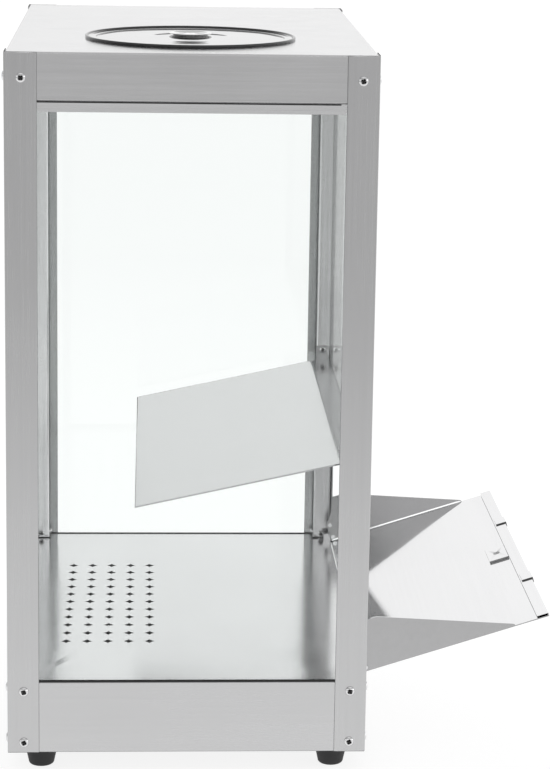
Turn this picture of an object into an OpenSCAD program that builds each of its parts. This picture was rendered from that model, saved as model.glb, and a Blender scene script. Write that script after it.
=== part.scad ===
// Chip warmer: a glazed steel cabinet that is filled through a lidded hole in its top
// and emptied through a tilt-out chute door at the foot of its front.
// Millimetres. The feet stand on Z = 0, the front faces -Y, left is -X, and X = Y = 0 is
// the middle of the case.

/* [Case] */
// Width of the case, side to side
case_w = 500; // [460:5:600]
// Depth of the case, front to rear
case_d = 330; // [300:5:400]
// Height of the case without its feet
case_h = 645; // [560:5:760]
// Height of the upper face of the bin floor above the bottom of the case
floor_h = 66; // [62:1:80]
// Height of the side and rear base panels above the bin floor
panel_rise = 1.4; // [1:0.1:6]
// Depth of the skirt of the top cover
skirt_h = 43; // [35:1:60]

/* [Sheet metal] */
// Wall of the corner posts
post_t = 1.2; // [0.8:0.1:2]
// Wall of the top cover and the base panels
panel_t = 1; // [0.8:0.1:1.5]
// Wall of the floor, base plate, columns and deflector
sheet_t = 1.2; // [0.8:0.1:1.5]
// Gap between sheets that slip past each other
fit_gap = 0.2; // [0.1:0.05:0.4]

/* [Corner posts and columns] */
// Leg of a corner post
post_leg = 29; // [26:1:36]
// Distance from a case face to the inner face of a column
column_inset = 20; // [20:0.5:22]
// Gap between the foot of a column and the bin floor
column_lift = 1; // [0.4:0.1:1.5]

/* [Glass] */
// Thickness of the panes
glass_t = 3; // [2:0.5:4]
// Wall of the channels that hold the upper edges of the panes
channel_t = 0.8; // [0.6:0.1:1.2]
// Height of a glass channel that shows below the skirt
channel_show = 9.5; // [5:0.5:12]
// Height of a glass channel
channel_h = 22; // [16:1:30]
// Radius of the lower corners of a glass channel
channel_r = 2; // [0.5:0.5:3]
// Height of the rubber seal that shows above a base panel
seal_low_h = 2; // [1:0.1:3]
// Height of the rubber seal that shows below the skirt
seal_high_h = 1.3; // [0.8:0.1:2]
// Distance by which an upper seal stops short of the front post
seal_short = 5; // [0:0.5:10]

/* [Case screws] */
// Thread diameter of the case screws
screw_d = 5; // [4:0.5:6]
// Head diameter of the case screws
screw_head_d = 9.2; // [8:0.2:12]
// Height of a screw head
screw_head_h = 2.4; // [1.6:0.1:3]
// Length of a case screw under its head
screw_len = 9; // [8:0.5:12]
// Distance from a screw to the vertical edge of the case
screw_edge = 15; // [14:0.5:15]
// Distance from the upper screws to the top of the case
screw_top = 22.5; // [18:0.5:26]
// Height of the screws that hold the base plate
screw_low = 10; // [8:0.5:11]
// Distance from the bin floor down to the screws that hold it
screw_below_floor = 7; // [5:0.5:7]

/* [Bin floor] */
// Depth of the flanges turned down round the floor
floor_flange = 12; // [10:0.5:13]
// Depth of the flanges turned up round the base plate
tray_flange = 15; // [14.5:0.5:17]
// Rows of air holes, counted from side to side
vent_rows = 11; // [5:1:13]
// Columns of air holes, counted from front to rear
vent_cols = 5; // [2:1:6]
// Spacing of the rows of air holes
vent_pitch_x = 25; // [20:1:30]
// Spacing of the columns of air holes
vent_pitch_y = 20; // [16:1:24]
// Length of an air hole, side to side
vent_len = 11; // [6:0.5:14]
// Width of an air hole, front to rear
vent_wid = 10; // [6:0.5:12]
// Distance from the rear of the case to the middle of the air holes
vent_inset = 90; // [80:1:110]

/* [Deflector] */
// Height of the serving bay, from the floor to the deflector's ledge
bay_h = 202; // [180:1:240]
// Width of the ledge
ledge_w = 24.8; // [20:0.2:32]
// Horizontal run of the sloping sheet behind the ledge
slope_run = 187; // [120:1:200]
// Slope of the sheet below the horizontal
slope_angle = 12.4; // [5:0.2:20]
// Distance from a case side to the edge of the sloping sheet
slope_inset = 30; // [24:1:60]
// Depth of the apron that the ledge turns down into
apron_h = 50; // [44:1:60]
// Height of the ears that hold the ledge to the columns
ear_h = 15; // [12:1:24]
// Width of an ear
ear_w = 15; // [10:0.5:17]

/* [Door] */
// Gap between a wing of the door and the corner post
door_side_gap = 4; // [3:0.1:6]
// Wall of the door
door_t = 1; // [0.8:0.1:1.2]
// Angle of the open door above the horizontal
door_open_angle = 17.6; // [16:0.1:30]
// Height by which the closed door covers the apron
door_overlap = 32; // [20:1:36]
// Height of the wings above the panel
wing_h = 47.6; // [36:0.2:56]
// Distance from the end of a wing to the upper edge of the door
wing_setback = 33; // [28:1:60]
// Height of the lug that holds the stop pin
lug_h = 21; // [18:0.5:26]
// Width of the hem along the upper edge
hem_w = 11; // [8:0.5:15]
// Gap inside the hem
hem_gap = 1.2; // [0.6:0.1:2]

/* [Door hinge] */
// Distance from the rear edge of the panel to the pivot
pivot_u = 3.8; // [3.2:0.1:5]
// Height of the pivot above the panel
pivot_v = 3.6; // [3.2:0.1:5]
// Diameter of the hinge pins and stop pins
hinge_pin_d = 3; // [2:0.5:3.5]
// Radial gap round a hinge pin
hinge_clearance = 0.05; // [0.03:0.01:0.1]

/* [Door fittings] */
// Length of the strike plate
strike_len = 40; // [24:1:60]
// Width of the strike plate
strike_wid = 20; // [14:1:22]
// Thickness of the strike plate
strike_t = 2; // [1:0.1:3]
// Gap between the strike plate and the hem
strike_gap = 0.5; // [0.3:0.1:3]
// Length of the pull
pull_len = 226; // [226:2:300]
// Spacing of the two tabs of the pull
pull_tab_pitch = 196; // [80:2:200]
// Width of a tab of the pull
pull_tab_w = 20; // [10:1:30]
// Wall of the pull
pull_t = 1.2; // [0.8:0.1:1.5]
// Reach of the pull from the door
pull_reach = 17; // [14:0.5:20]
// Height of the lip of the pull
pull_lip = 12; // [6:0.5:14]

/* [Lid] */
// Diameter of the lid
lid_d = 195; // [150:1:220]
// Width by which the lid covers the edge of the fill hole
lid_overhang = 9.5; // [9.5:0.5:16]
// Distance from the left side of the case to the middle of the lid
lid_inset = 145; // [125:1:250]
// Diameter of the rolled rim of the lid
rim_d = 3.4; // [3:0.2:5]
// Gap between the dished middle of the lid and the top cover
dish_lift = 0.8; // [0.4:0.1:1.6]
// Wall of the lid
lid_t = 0.8; // [0.6:0.1:1.2]
// Diameter of the knob
knob_d = 40; // [30:1:50]
// Diameter of the foot of the knob
knob_foot_d = 24; // [16:1:28]
// Height of the knob
knob_h = 6; // [5:0.5:20]

/* [Feet] */
// Height of a foot
foot_h = 20; // [12:1:30]
// Diameter of a foot at the case
foot_top_d = 31; // [22:1:36]
// Diameter of a foot near the table
foot_base_d = 24; // [20:1:32]
// Distance from a case side to the middle of a foot
foot_inset_x = 27; // [20:1:40]
// Distance from the front or rear of the case to the middle of a foot
foot_inset_y = 30; // [22:1:40]

/* [Warm air unit] */
// Side of the fan frame
fan_w = 120; // [92:1:120]
// Thickness of the fan
fan_t = 38; // [25:1:38]
// Number of fan blades
fan_blades = 7; // [5:1:9]
// Diameter of the heater tube
heater_d = 6.5; // [5:0.5:8]
// Length of the straight runs of the heater
heater_len = 210; // [120:5:240]
// Spacing of the two runs of the heater
heater_pitch = 60; // [40:2:80]

/* [Rear fittings] */
// Distance from the left side of the case to the middle of the switch
switch_inset = 100; // [70:5:145]
// Distance from the right side of the case to the middle of the power inlet
inlet_inset = 100; // [70:5:145]
// Tilt of the rocker to each side
rocker_tilt = 9; // [5:1:12]

/* [Hidden] */

$fn = 64;
eps = 0.01;

// Colours
steel_post = [0.68, 0.68, 0.68];
steel_panel = [0.78, 0.78, 0.78];
steel_bright = [0.88, 0.88, 0.88];
glass_tint = [0.85, 0.92, 0.92, 0.3];
plastic_black = [0.1, 0.1, 0.1];
zinc = [0.72, 0.73, 0.75];

// Case
half_w = case_w / 2;
half_d = case_d / 2;
base_z = foot_h;
top_z = foot_h + case_h;
floor_z = base_z + floor_h;
base_panel_h = floor_h + panel_rise;
skin_x = half_w - post_t;
skin_y = half_d - post_t;
inner_x = skin_x - panel_t - fit_gap;
inner_y = skin_y - panel_t - fit_gap;
column_x = half_w - column_inset;
column_y = half_d - column_inset;

// Tabs of the floor inside the columns
tab_w = 10;
tab_h = 11;

// Glass and its channels, measured inwards from the inner face of the skirt
glass_out = panel_t + channel_t + fit_gap;
glass_foot_z = floor_z;
channel_top_z = top_z - skirt_h - channel_show + channel_h;
glass_head_z = channel_top_z - channel_t - fit_gap;

// Screws
bore_d = screw_d + 0.4;
low_z = base_z + screw_low;
mid_z = floor_z - screw_below_floor;
high_z = top_z - screw_top;
screw_zs = [low_z, mid_z, high_z];
nut_d = 7.2;
nut_h = 3;

// Deflector
ledge_z = floor_z + bay_h;
apron_y = -(skin_y - fit_gap - panel_t);
bend_y = apron_y + ledge_w;
slope_half_w = half_w - slope_inset;
ledge_half_w = column_x - fit_gap;
ear_y = -(half_d - column_inset) - ear_w / 2 + 1;

// Door, in its own axes: u runs from the rear edge of the panel to its upper edge,
// v stands on the panel. Closed, u is vertical.
door_half_w = half_w - post_leg - door_side_gap;
door_w = 2 * door_half_w;
rear_edge_y = -skin_y + 0.3;
rear_edge_z = floor_z + 0.3;
pivot_y = rear_edge_y - pivot_u * cos(door_open_angle) + pivot_v * sin(door_open_angle);
pivot_z = rear_edge_z + pivot_u * sin(door_open_angle) + pivot_v * cos(door_open_angle);
door_top_closed = ledge_z - apron_h + door_overlap;
door_len = door_top_closed - pivot_z + pivot_u;
door_face_closed = pivot_y - pivot_v;
hem_v = hem_gap + door_t;
wing_end_u = door_len - wing_setback;
strike_u = door_len - hem_w - strike_gap - strike_wid / 2;
pull_web_u = strike_u - 6;
stop_gap = 0.25;
stop_v = lug_h - 3;
stop_u = (rear_edge_y + skin_y + stop_v * sin(door_open_angle) - hinge_pin_d / 2 - stop_gap) / cos(door_open_angle);
hinge_ear_gap = 0.4;
hinge_ear_t = 1.2;
pin_head_h = 0.8;
pin_head_d = hinge_pin_d + 1.8;

// Catch
catch_z = pivot_z - pivot_u + strike_u;
catch_len = 46;
catch_h = 15;
catch_face_y = door_face_closed + strike_t + 0.2;

// Lid
lid_x = -half_w + lid_inset;
fill_d = lid_d - 2 * lid_overhang;
dish_z = top_z + dish_lift;
dish_r = lid_d / 2 - rim_d - 4;
collar_h = 8;
spigot_h = collar_h + 2;
spigot_r = fill_d / 2 - panel_t - 0.6;

// Rear fittings
switch_x = half_w - switch_inset;
inlet_x = half_w - inlet_inset;

// Warm air unit
vent_y = half_d - vent_inset;
vent_grid_x = [for (i = [0 : vent_rows - 1]) (i - (vent_rows - 1) / 2) * vent_pitch_x];
vent_grid_y = [for (i = [0 : vent_cols - 1]) vent_y + (i - (vent_cols - 1) / 2) * vent_pitch_y];
fan_z = base_z + sheet_t;
fan_bore_r = fan_w / 2 - 3.5;
fan_hub_r = 21;
fan_hole = fan_w / 2 - 7.5;
block_d = 18;
block_y = vent_y - fan_w / 2 - 16 - block_d / 2;
fitting_z = (tray_flange + floor_h - floor_flange) / 2;
heater_z = (fan_z + fan_t + floor_z - sheet_t) / 2 - 1;

// Draws its 2D child, given in Y and Z, as a slab that starts at x and is t thick.
module slab_x(x, t) {
    translate([x, 0, 0]) rotate([90, 0, 90]) linear_extrude(t) children();
}

// Draws its 2D child, given in X and Z, as a slab that starts at y and is t thick.
module slab_y(y, t) {
    translate([0, y + t, 0]) rotate([90, 0, 0]) linear_extrude(t) children();
}

// Box between two corners.
module block(low, high) {
    translate(low) cube(high - low);
}

// Pan head screw along Z, its head above Z = 0, with a cross recess.
module pan_screw(d, len, head_d, head_h) {
    r = head_d / 2;
    difference() {
        union() {
            rotate_extrude() polygon([
                [0, 0], [r, 0], [r, head_h * 0.35], [r * 0.9, head_h * 0.7],
                [r * 0.65, head_h * 0.93], [r * 0.35, head_h], [0, head_h]
            ]);
            translate([0, 0, -len]) cylinder(d = d, h = len + eps);
        }
        for (turn = [0, 90]) rotate(turn)
            translate([-head_d * 0.25, -head_d * 0.055, head_h * 0.45])
                cube([head_d * 0.5, head_d * 0.11, head_h]);
    }
}

// Places its child at each screw of a side face, s = -1 for left and 1 for right.
module at_side_screws(s, zs = screw_zs) {
    for (y = [-1, 1] * (half_d - screw_edge), z = zs)
        translate([s * half_w, y, z]) rotate([0, s * 90, 0]) children();
}

// Places its child at each screw of the front (s = -1) or rear (s = 1) face.
module at_end_screws(s, zs = screw_zs) {
    for (x = [-1, 1] * (half_w - screw_edge), z = zs)
        translate([x, s * half_d, z]) rotate([-s * 90, 0, 0]) children();
}

module screw_bore() {
    translate([0, 0, -screw_len - 1]) cylinder(d = bore_d, h = screw_len + 2);
}

module case_bores() {
    for (s = [-1, 1]) {
        at_side_screws(s) screw_bore();
        at_end_screws(s) screw_bore();
    }
}

module corner_post(sx, sy) {
    color(steel_post) difference() {
        scale([sx, sy, 1]) difference() {
            block([half_w - post_leg, half_d - post_leg, base_z], [half_w, half_d, top_z]);
            block([0, 0, base_z - 1], [skin_x, skin_y, top_z + 1]);
        }
        case_bores();
    }
}

module column(sx, sy) {
    color(steel_post) difference() {
        scale([sx, sy, 1]) difference() {
            block([column_x, column_y, floor_z + column_lift], [inner_x, inner_y, top_z - panel_t]);
            block([column_x + sheet_t, column_y + sheet_t, floor_z], [half_w, half_d, top_z]);
        }
        column_screw_places() translate([0, 0, -3]) cylinder(d = 3.2, h = 6, $fn = 32);
        ear_screw_places() translate([0, 0, -6]) cylinder(d = 4.2, h = 9, $fn = 32);
    }
}

// Places its child on both inner faces of each column, just above the floor.
module column_screw_places() {
    lift = floor_z + tab_h / 2;
    for (s = [-1, 1], e = [-1, 1]) {
        translate([s * column_x, e * (half_d - 12), lift]) rotate([0, -s * 90, 0]) children();
        translate([s * (half_w - 12), e * column_y, lift]) rotate([e * 90, 0, 0]) children();
    }
}

module column_screws() {
    color(zinc) column_screw_places() pan_screw(3, 4, 6.2, 3, $fn = 32);
}

module top_cover() {
    color(steel_panel) difference() {
        union() {
            difference() {
                block([-skin_x, -skin_y, top_z - skirt_h], [skin_x, skin_y, top_z]);
                block([-skin_x + panel_t, -skin_y + panel_t, top_z - skirt_h - 1],
                      [skin_x - panel_t, skin_y - panel_t, top_z - panel_t]);
            }
            translate([lid_x, 0, top_z - collar_h])
                cylinder(d = fill_d + 2 * panel_t, h = collar_h - eps, $fn = 96);
        }
        translate([lid_x, 0, top_z - collar_h - 1]) cylinder(d = fill_d, h = collar_h + 2, $fn = 96);
        case_bores();
    }
}

module base_panel_side(s) {
    color(steel_panel) difference() {
        scale([s, 1, 1]) block([skin_x - panel_t, -inner_y, base_z], [skin_x, inner_y, base_z + base_panel_h]);
        case_bores();
    }
}

// The front panel is lower than the others, so that the open door meets the floor.
module base_panel_front() {
    top = floor_z - sheet_t;
    flange_x = inner_x - sheet_t - fit_gap;
    color(steel_panel) difference() {
        union() {
            block([-skin_x, -skin_y, base_z], [skin_x, -skin_y + panel_t, top]);
            block([-flange_x, -skin_y, top - panel_t], [flange_x, -skin_y + tray_flange - panel_t, top]);
        }
        case_bores();
    }
}

module base_panel_rear() {
    color(steel_panel) difference() {
        block([-skin_x, skin_y - panel_t, base_z], [skin_x, skin_y, base_z + base_panel_h]);
        case_bores();
        translate([-switch_x, half_d, base_z + fitting_z]) cube([22.4, 12, 30.4], center = true);
        translate([inlet_x, half_d, base_z + fitting_z]) {
            cube([27.4, 12, 20.4], center = true);
            for (s = [-1, 1]) translate([s * 20, 0, 0]) rotate([90, 0, 0])
                cylinder(d = 3.4, h = 12, center = true, $fn = 32);
        }
    }
}

// Flat tray with flanges turned to dz on the sides named in flanges: [left, right, front, rear].
module tray(low, high, dz, flanges) {
    z0 = min(low[2], low[2] + dz);
    z1 = max(high[2], high[2] + dz);
    block(low, high);
    if (flanges[0]) block([low[0], low[1], z0], [low[0] + sheet_t, high[1], z1]);
    if (flanges[1]) block([high[0] - sheet_t, low[1], z0], [high[0], high[1], z1]);
    if (flanges[2]) block([low[0], low[1], z0], [high[0], low[1] + sheet_t, z1]);
    if (flanges[3]) block([low[0], high[1] - sheet_t, z0], [high[0], high[1], z1]);
}

module base_plate() {
    color(steel_panel) difference() {
        tray([-inner_x, -inner_y, base_z], [inner_x, inner_y, base_z + sheet_t], tray_flange,
             [true, true, true, true]);
        case_bores();
        foot_places() translate([0, 0, base_z - 1]) cylinder(d = 5.4, h = 4, $fn = 32);
        translate([0, vent_y, base_z - 1]) {
            intake_slots();
            fan_screw_places() cylinder(d = 4.4, h = 4, $fn = 32);
        }
    }
}

// Slots through which the fan draws air, like spokes round its hub.
module intake_slots() {
    r0 = fan_hub_r + 6;
    r1 = fan_bore_r - 8;
    for (i = [0 : 15]) rotate(i * 22.5 + 11.25) {
        translate([r0, -2, 0]) cube([r1 - r0, 4, 4]);
        for (r = [r0, r1]) translate([r, 0, 0]) cylinder(r = 2, h = 4, $fn = 24);
    }
}

// A diamond with slightly hollow sides.
module vent_shape() {
    a = vent_len / 2;
    b = vent_wid / 2;
    c = 0.42;
    polygon([[a, 0], [a * c, b * c], [0, b], [-a * c, b * c], [-a, 0], [-a * c, -b * c], [0, -b], [a * c, -b * c]]);
}

module floor_plate() {
    ear_x = door_half_w + hinge_ear_gap;
    color(steel_bright) difference() {
        union() {
            tray([-inner_x, -inner_y, floor_z - sheet_t], [inner_x, inner_y, floor_z], sheet_t - floor_flange,
                 [true, true, false, true]);
            for (sx = [0, 1], sy = [0, 1]) mirror([sx, 0, 0]) mirror([0, sy, 0]) column_tabs();
            for (s = [0, 1]) mirror([s, 0, 0]) slab_x(ear_x, hinge_ear_t) hinge_ear_shape();
        }
        case_bores();
        column_screw_places() translate([0, 0, -5]) cylinder(d = 3.2, h = 6, $fn = 32);
        translate([0, 0, floor_z - 3]) linear_extrude(4)
            for (x = vent_grid_x, y = vent_grid_y) translate([x, y]) vent_shape();
        translate([-ear_x - 4, pivot_y, pivot_z]) rotate([0, 90, 0])
            cylinder(d = hinge_pin_d + 2 * hinge_clearance, h = 2 * ear_x + 8, $fn = 48);
    }
}

// Tabs of the floor that stand inside a column, behind its two legs.
module column_tabs() {
    seat_x = column_x + sheet_t;
    seat_y = column_y + sheet_t;
    block([seat_x, seat_y + 2, floor_z - eps], [seat_x + sheet_t, seat_y + 2 + tab_w, floor_z + tab_h]);
    block([seat_x + 2, seat_y, floor_z - eps], [seat_x + 2 + tab_w, seat_y + sheet_t, floor_z + tab_h]);
}

// Ear beside a door wing: it carries the hinge pin just in front of the case.
module hinge_ear_shape() {
    r = 2.9;
    hull() {
        translate([pivot_y, pivot_z]) circle(r = r, $fn = 32);
        translate([-inner_y, floor_z - eps]) square([7, pivot_z - floor_z + r]);
    }
}

module glass_side(s) {
    x1 = skin_x - glass_out;
    color(glass_tint) scale([s, 1, 1])
        block([x1 - glass_t, -column_y + fit_gap, glass_foot_z], [x1, column_y - fit_gap, glass_head_z]);
}

module glass_end(s, foot_z) {
    y1 = skin_y - glass_out;
    color(glass_tint) scale([1, s, 1])
        block([-column_x + fit_gap, y1 - glass_t, foot_z], [column_x - fit_gap, y1, glass_head_z]);
}

// Inverted channel over the upper edge of a pane, drawn along X, its outer face at Y = 0.
module glass_channel(half_len) {
    wide = 2 * channel_t + glass_t + 2 * fit_gap;
    low = channel_top_z - channel_h;
    color(zinc) {
        slab_y(-channel_t, channel_t) hull() {
            translate([-half_len, channel_top_z - 1]) square([2 * half_len, 1]);
            for (s = [-1, 1]) translate([s * (half_len - channel_r), low + channel_r]) circle(r = channel_r, $fn = 32);
        }
        block([-half_len, -wide, channel_top_z - channel_t], [half_len, -channel_t + eps, channel_top_z]);
        block([-half_len, -wide, low + 4], [half_len, -wide + channel_t, channel_top_z - eps]);
    }
}

module glass_channel_side(s) {
    scale([s, 1, 1]) translate([skin_x - panel_t, 0, 0]) rotate(-90) glass_channel(half_d - post_leg - fit_gap);
}

module glass_channel_end(s) {
    scale([1, s, 1]) translate([0, skin_y - panel_t, 0]) glass_channel(half_w - post_leg - fit_gap);
}

// Rubber strips that close the gap between a pane and the sheet outside it: one on the upper
// edge of each base panel but the front one, and one below each side of the skirt.
module glass_seals() {
    reach_x = column_x - fit_gap;
    reach_y = column_y - fit_gap;
    low_z0 = base_z + base_panel_h;
    low_z1 = low_z0 + seal_low_h;
    high_z1 = top_z - skirt_h;
    high_z0 = high_z1 - seal_high_h;
    color(plastic_black) {
        for (s = [0, 1]) mirror([s, 0, 0]) {
            block([skin_x - glass_out, -reach_y, low_z0], [skin_x, reach_y, low_z1]);
            block([skin_x - panel_t, -half_d + post_leg + seal_short, high_z0], [skin_x, reach_y, high_z1]);
        }
        block([-reach_x, skin_y - glass_out, low_z0], [reach_x, skin_y, low_z1]);
        for (s = [0, 1]) mirror([0, s, 0])
            block([-reach_x, skin_y - panel_t, high_z0], [reach_x, skin_y, high_z1]);
    }
}

// Places its child on the deflector's ears, its head side towards the middle of the bin.
module ear_screw_places() {
    for (s = [-1, 1])
        translate([s * (ledge_half_w - sheet_t), ear_y, ledge_z + ear_h * 0.7]) rotate([0, -s * 90, 0]) children();
}

// One folded sheet: apron, ledge with two ears, and the sloping sheet behind it.
module deflector() {
    drop = slope_run * tan(slope_angle);
    t = sheet_t;
    color(steel_bright) difference() {
        union() {
            slab_x(-ledge_half_w, 2 * ledge_half_w) polygon([
                [apron_y, ledge_z - apron_h], [apron_y, ledge_z], [-column_y + 2, ledge_z],
                [-column_y + 2, ledge_z - t], [apron_y + t, ledge_z - t], [apron_y + t, ledge_z - apron_h]
            ]);
            slab_x(-slope_half_w, 2 * slope_half_w) polygon([
                [-column_y + 1, ledge_z], [bend_y, ledge_z], [bend_y + slope_run, ledge_z - drop],
                [bend_y + slope_run, ledge_z - drop - t / cos(slope_angle)], [bend_y, ledge_z - t],
                [-column_y + 1, ledge_z - t]
            ]);
            for (s = [0, 1]) mirror([s, 0, 0]) slab_x(ledge_half_w - t, t) hull() {
                translate([ear_y - ear_w / 2, ledge_z - t]) square([ear_w, 1]);
                for (k = [-1, 1]) translate([ear_y + k * (ear_w / 2 - 3), ledge_z + ear_h - 3]) circle(r = 3, $fn = 32);
            }
        }
        ear_screw_places() translate([0, 0, -3]) cylinder(d = 4.2, h = 6, $fn = 32);
        catch_screw_places() translate([0, 0, -4]) cylinder(d = 3.2, h = 6, $fn = 32);
    }
}

module deflector_screws() {
    color(zinc) ear_screw_places() pan_screw(4, 6, 7.6, 2.2, $fn = 32);
}

// Places its child on the face of the catch, looking out of the bin.
module catch_screw_places() {
    for (s = [-1, 1]) translate([s * (catch_len / 2 - 5), apron_y, catch_z]) rotate([90, 0, 0]) children();
}

module magnetic_catch() {
    color(plastic_black) difference() {
        union() {
            block([-catch_len / 2, catch_face_y + 2.4, catch_z - catch_h / 2], [catch_len / 2, apron_y, catch_z + catch_h / 2]);
            block([-catch_len / 2 + 10, catch_face_y + 0.6, catch_z - catch_h / 2], [catch_len / 2 - 10, apron_y, catch_z + catch_h / 2]);
            for (s = [-1, 1]) translate([0, 0, catch_z + s * 4.2])
                block([-catch_len / 2 + 11, catch_face_y, -0.9], [catch_len / 2 - 11, apron_y, 0.9]);
        }
        catch_screw_places() translate([0, 0, -1]) cylinder(d = 3.2, h = 8, $fn = 32);
    }
}

module catch_screws() {
    color(zinc) catch_screw_places()
        translate([0, 0, apron_y - catch_face_y - 2.4]) pan_screw(3, 6, 5.6, 1.6, $fn = 32);
}

// Turns the door's own axes, X, -u and v, to the open door.
module door_axes() {
    translate([0, pivot_y, pivot_z]) rotate([-door_open_angle, 0, 0]) translate([0, pivot_u, -pivot_v]) children();
}

// Side wing with the lug behind the pivot, a level shoulder and a long taper to a rounded end.
module wing_shape() {
    shoulder = wing_h * 0.6;
    polygon([
        [0, -door_t], [0, 2], [-0.3, lug_h * 0.46], [-1.5, lug_h - 0.8], [-2.2, lug_h], [-7.2, shoulder - 0.6],
        [-8, shoulder], [-15, wing_h - 0.6], [-15.8, wing_h], [-28, wing_h],
        [-(wing_end_u - 3), 2.6], [-(wing_end_u - 1.2), 1.8], [-(wing_end_u - 0.3), 0.9], [-wing_end_u, 0],
        [-wing_end_u, -door_t]
    ]);
}

module door() {
    color(steel_bright) door_axes() difference() {
        union() {
            slab_x(-door_half_w, door_w) polygon([
                [0, -door_t], [0, 0], [-(door_len - door_t), 0], [-(door_len - door_t), hem_gap],
                [-(door_len - hem_w), hem_gap], [-(door_len - hem_w), hem_v], [-door_len, hem_v], [-door_len, -door_t]
            ]);
            for (s = [0, 1]) mirror([s, 0, 0]) slab_x(door_half_w - door_t, door_t) wing_shape();
        }
        translate([-door_half_w - 1, -pivot_u, pivot_v]) rotate([0, 90, 0])
            cylinder(d = hinge_pin_d + 2 * hinge_clearance, h = door_w + 2, $fn = 48);
        translate([-door_half_w - 1, -stop_u, stop_v]) rotate([0, 90, 0])
            cylinder(d = hinge_pin_d, h = door_w + 2, $fn = 48);
        translate([0, -strike_u, -door_t - 1]) cylinder(d = 4.4, h = door_t + 2, $fn = 32);
    }
}

// Hinge pins: headed inside the wings and riveted over outside the ears.
module hinge_pins() {
    inside = door_half_w - door_t - 0.1;
    outside = door_half_w + hinge_ear_gap + hinge_ear_t;
    color(zinc) for (s = [0, 1]) mirror([s, 0, 0]) translate([0, pivot_y, pivot_z]) rotate([0, 90, 0]) {
        translate([0, 0, inside - pin_head_h]) cylinder(d = pin_head_d, h = pin_head_h, $fn = 48);
        translate([0, 0, inside - eps]) cylinder(d = hinge_pin_d, h = outside - inside + 2 * eps, $fn = 48);
        translate([0, 0, outside]) cylinder(d = pin_head_d, h = pin_head_h, $fn = 48);
    }
}

// Stop pins: they stand out of the wings and rest behind the legs of the front posts.
module door_stop_pins() {
    inside = door_half_w - door_t;
    reach = half_w - post_leg + 3.5;
    color(zinc) door_axes() for (s = [0, 1]) mirror([s, 0, 0]) translate([0, -stop_u, stop_v]) rotate([0, 90, 0]) {
        translate([0, 0, inside - pin_head_h]) cylinder(d = pin_head_d, h = pin_head_h, $fn = 48);
        translate([0, 0, inside - eps]) cylinder(d = hinge_pin_d, h = reach - inside, $fn = 48);
    }
}

// Pull of bent strip: two tabs hook over the hem, the lip stands off the outer face.
module door_pull() {
    t = pull_t;
    back = -door_t;
    hook_u = door_len + t;
    low_u = pull_web_u;
    edge_u = door_len - hem_w + 1;
    half = pull_len / 2;
    color(steel_bright) door_axes() difference() {
        union() {
            block([-half, -door_len, back - t], [half, -low_u, back]);
            block([-half, -low_u, back - pull_reach], [half, -low_u + t, back]);
            block([-half, -low_u - pull_lip, back - pull_reach], [half, -low_u + t, back - pull_reach + t]);
            for (s = [-1, 1]) translate([s * pull_tab_pitch / 2, 0, 0]) slab_x(-pull_tab_w / 2, pull_tab_w) polygon([
                [-door_len + 5, back - t], [-hook_u, back - t], [-hook_u, hem_v + t], [-edge_u, hem_v + t],
                [-edge_u, hem_v], [-door_len, hem_v], [-door_len, back], [-door_len + 5, back]
            ]);
        }
        translate([0, -strike_u, back - t - 1]) cylinder(d = 4.4, h = t + 2, $fn = 32);
    }
}

module strike_plate() {
    color(zinc) door_axes() translate([0, -strike_u, 0]) difference() {
        translate([-strike_len / 2, -strike_wid / 2, 0]) cube([strike_len, strike_wid, strike_t]);
        translate([0, 0, -1]) cylinder(d = 4.4, h = strike_t + 2, $fn = 32);
        translate([0, 0, strike_t - 1.6]) cylinder(d1 = 4.4, d2 = 7.6, h = 1.6 + eps, $fn = 32);
    }
}

// Countersunk screw that holds the strike plate and the pull, with its nut under the pull.
module strike_screw() {
    seat = -door_t - pull_t;
    color([0.25, 0.25, 0.27]) door_axes() translate([0, -strike_u, 0]) difference() {
        union() {
            translate([0, 0, strike_t - 1.7]) cylinder(d1 = 4, d2 = 7, h = 1.4, $fn = 32);
            translate([0, 0, seat - 4]) cylinder(d = 4, h = strike_t - seat + 2.4, $fn = 32);
            translate([0, 0, seat - 3]) cylinder(d = 8, h = 3, $fn = 6);
        }
        for (turn = [0, 90]) rotate(turn) translate([-1.8, -0.4, strike_t - 1.2]) cube([3.6, 0.8, 2]);
    }
}

// Spun lid: rolled rim, dished middle, and a ring below that drops into the fill hole.
module lid() {
    bead = rim_d / 2;
    rim_r = lid_d / 2 - bead;
    color(steel_bright) translate([lid_x, 0, 0]) rotate_extrude($fn = 96) {
        difference() {
            translate([rim_r, top_z + bead]) circle(r = bead, $fn = 32);
            translate([rim_r, top_z + bead]) circle(r = bead - lid_t, $fn = 32);
            translate([rim_r - bead - 1, top_z - 1]) square([bead + 1, bead + 1 - 0.2]);
        }
        polygon([
            [4, dish_z], [dish_r, dish_z], [dish_r + 3.6, top_z + rim_d - lid_t], [rim_r, top_z + rim_d - lid_t],
            [rim_r, top_z + rim_d], [dish_r + 3, top_z + rim_d], [dish_r - 0.6, dish_z + lid_t], [4, dish_z + lid_t]
        ]);
        translate([spigot_r - lid_t, top_z - spigot_h]) square([lid_t, dish_z - top_z + spigot_h + eps]);
    }
}

module lid_knob() {
    foot = dish_z + lid_t;
    r = knob_d / 2;
    rf = knob_foot_d / 2;
    color(steel_bright) translate([lid_x, 0, foot]) difference() {
        rotate_extrude() polygon([
            [0, 0], [rf, 0], [rf, 0.6], [rf - 1.6, 1.6], [rf - 1, knob_h * 0.5], [r - 2.4, knob_h - 1.9],
            [r - 0.5, knob_h - 1.7], [r, knob_h - 1.2], [r, knob_h - 0.5], [r - 0.6, knob_h], [r - 3, knob_h - 0.1],
            [r * 0.5, knob_h - 0.9], [0, knob_h - 1.2]
        ]);
        translate([0, 0, -1]) cylinder(d = 4, h = 4.4, $fn = 32);
    }
}

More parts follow.
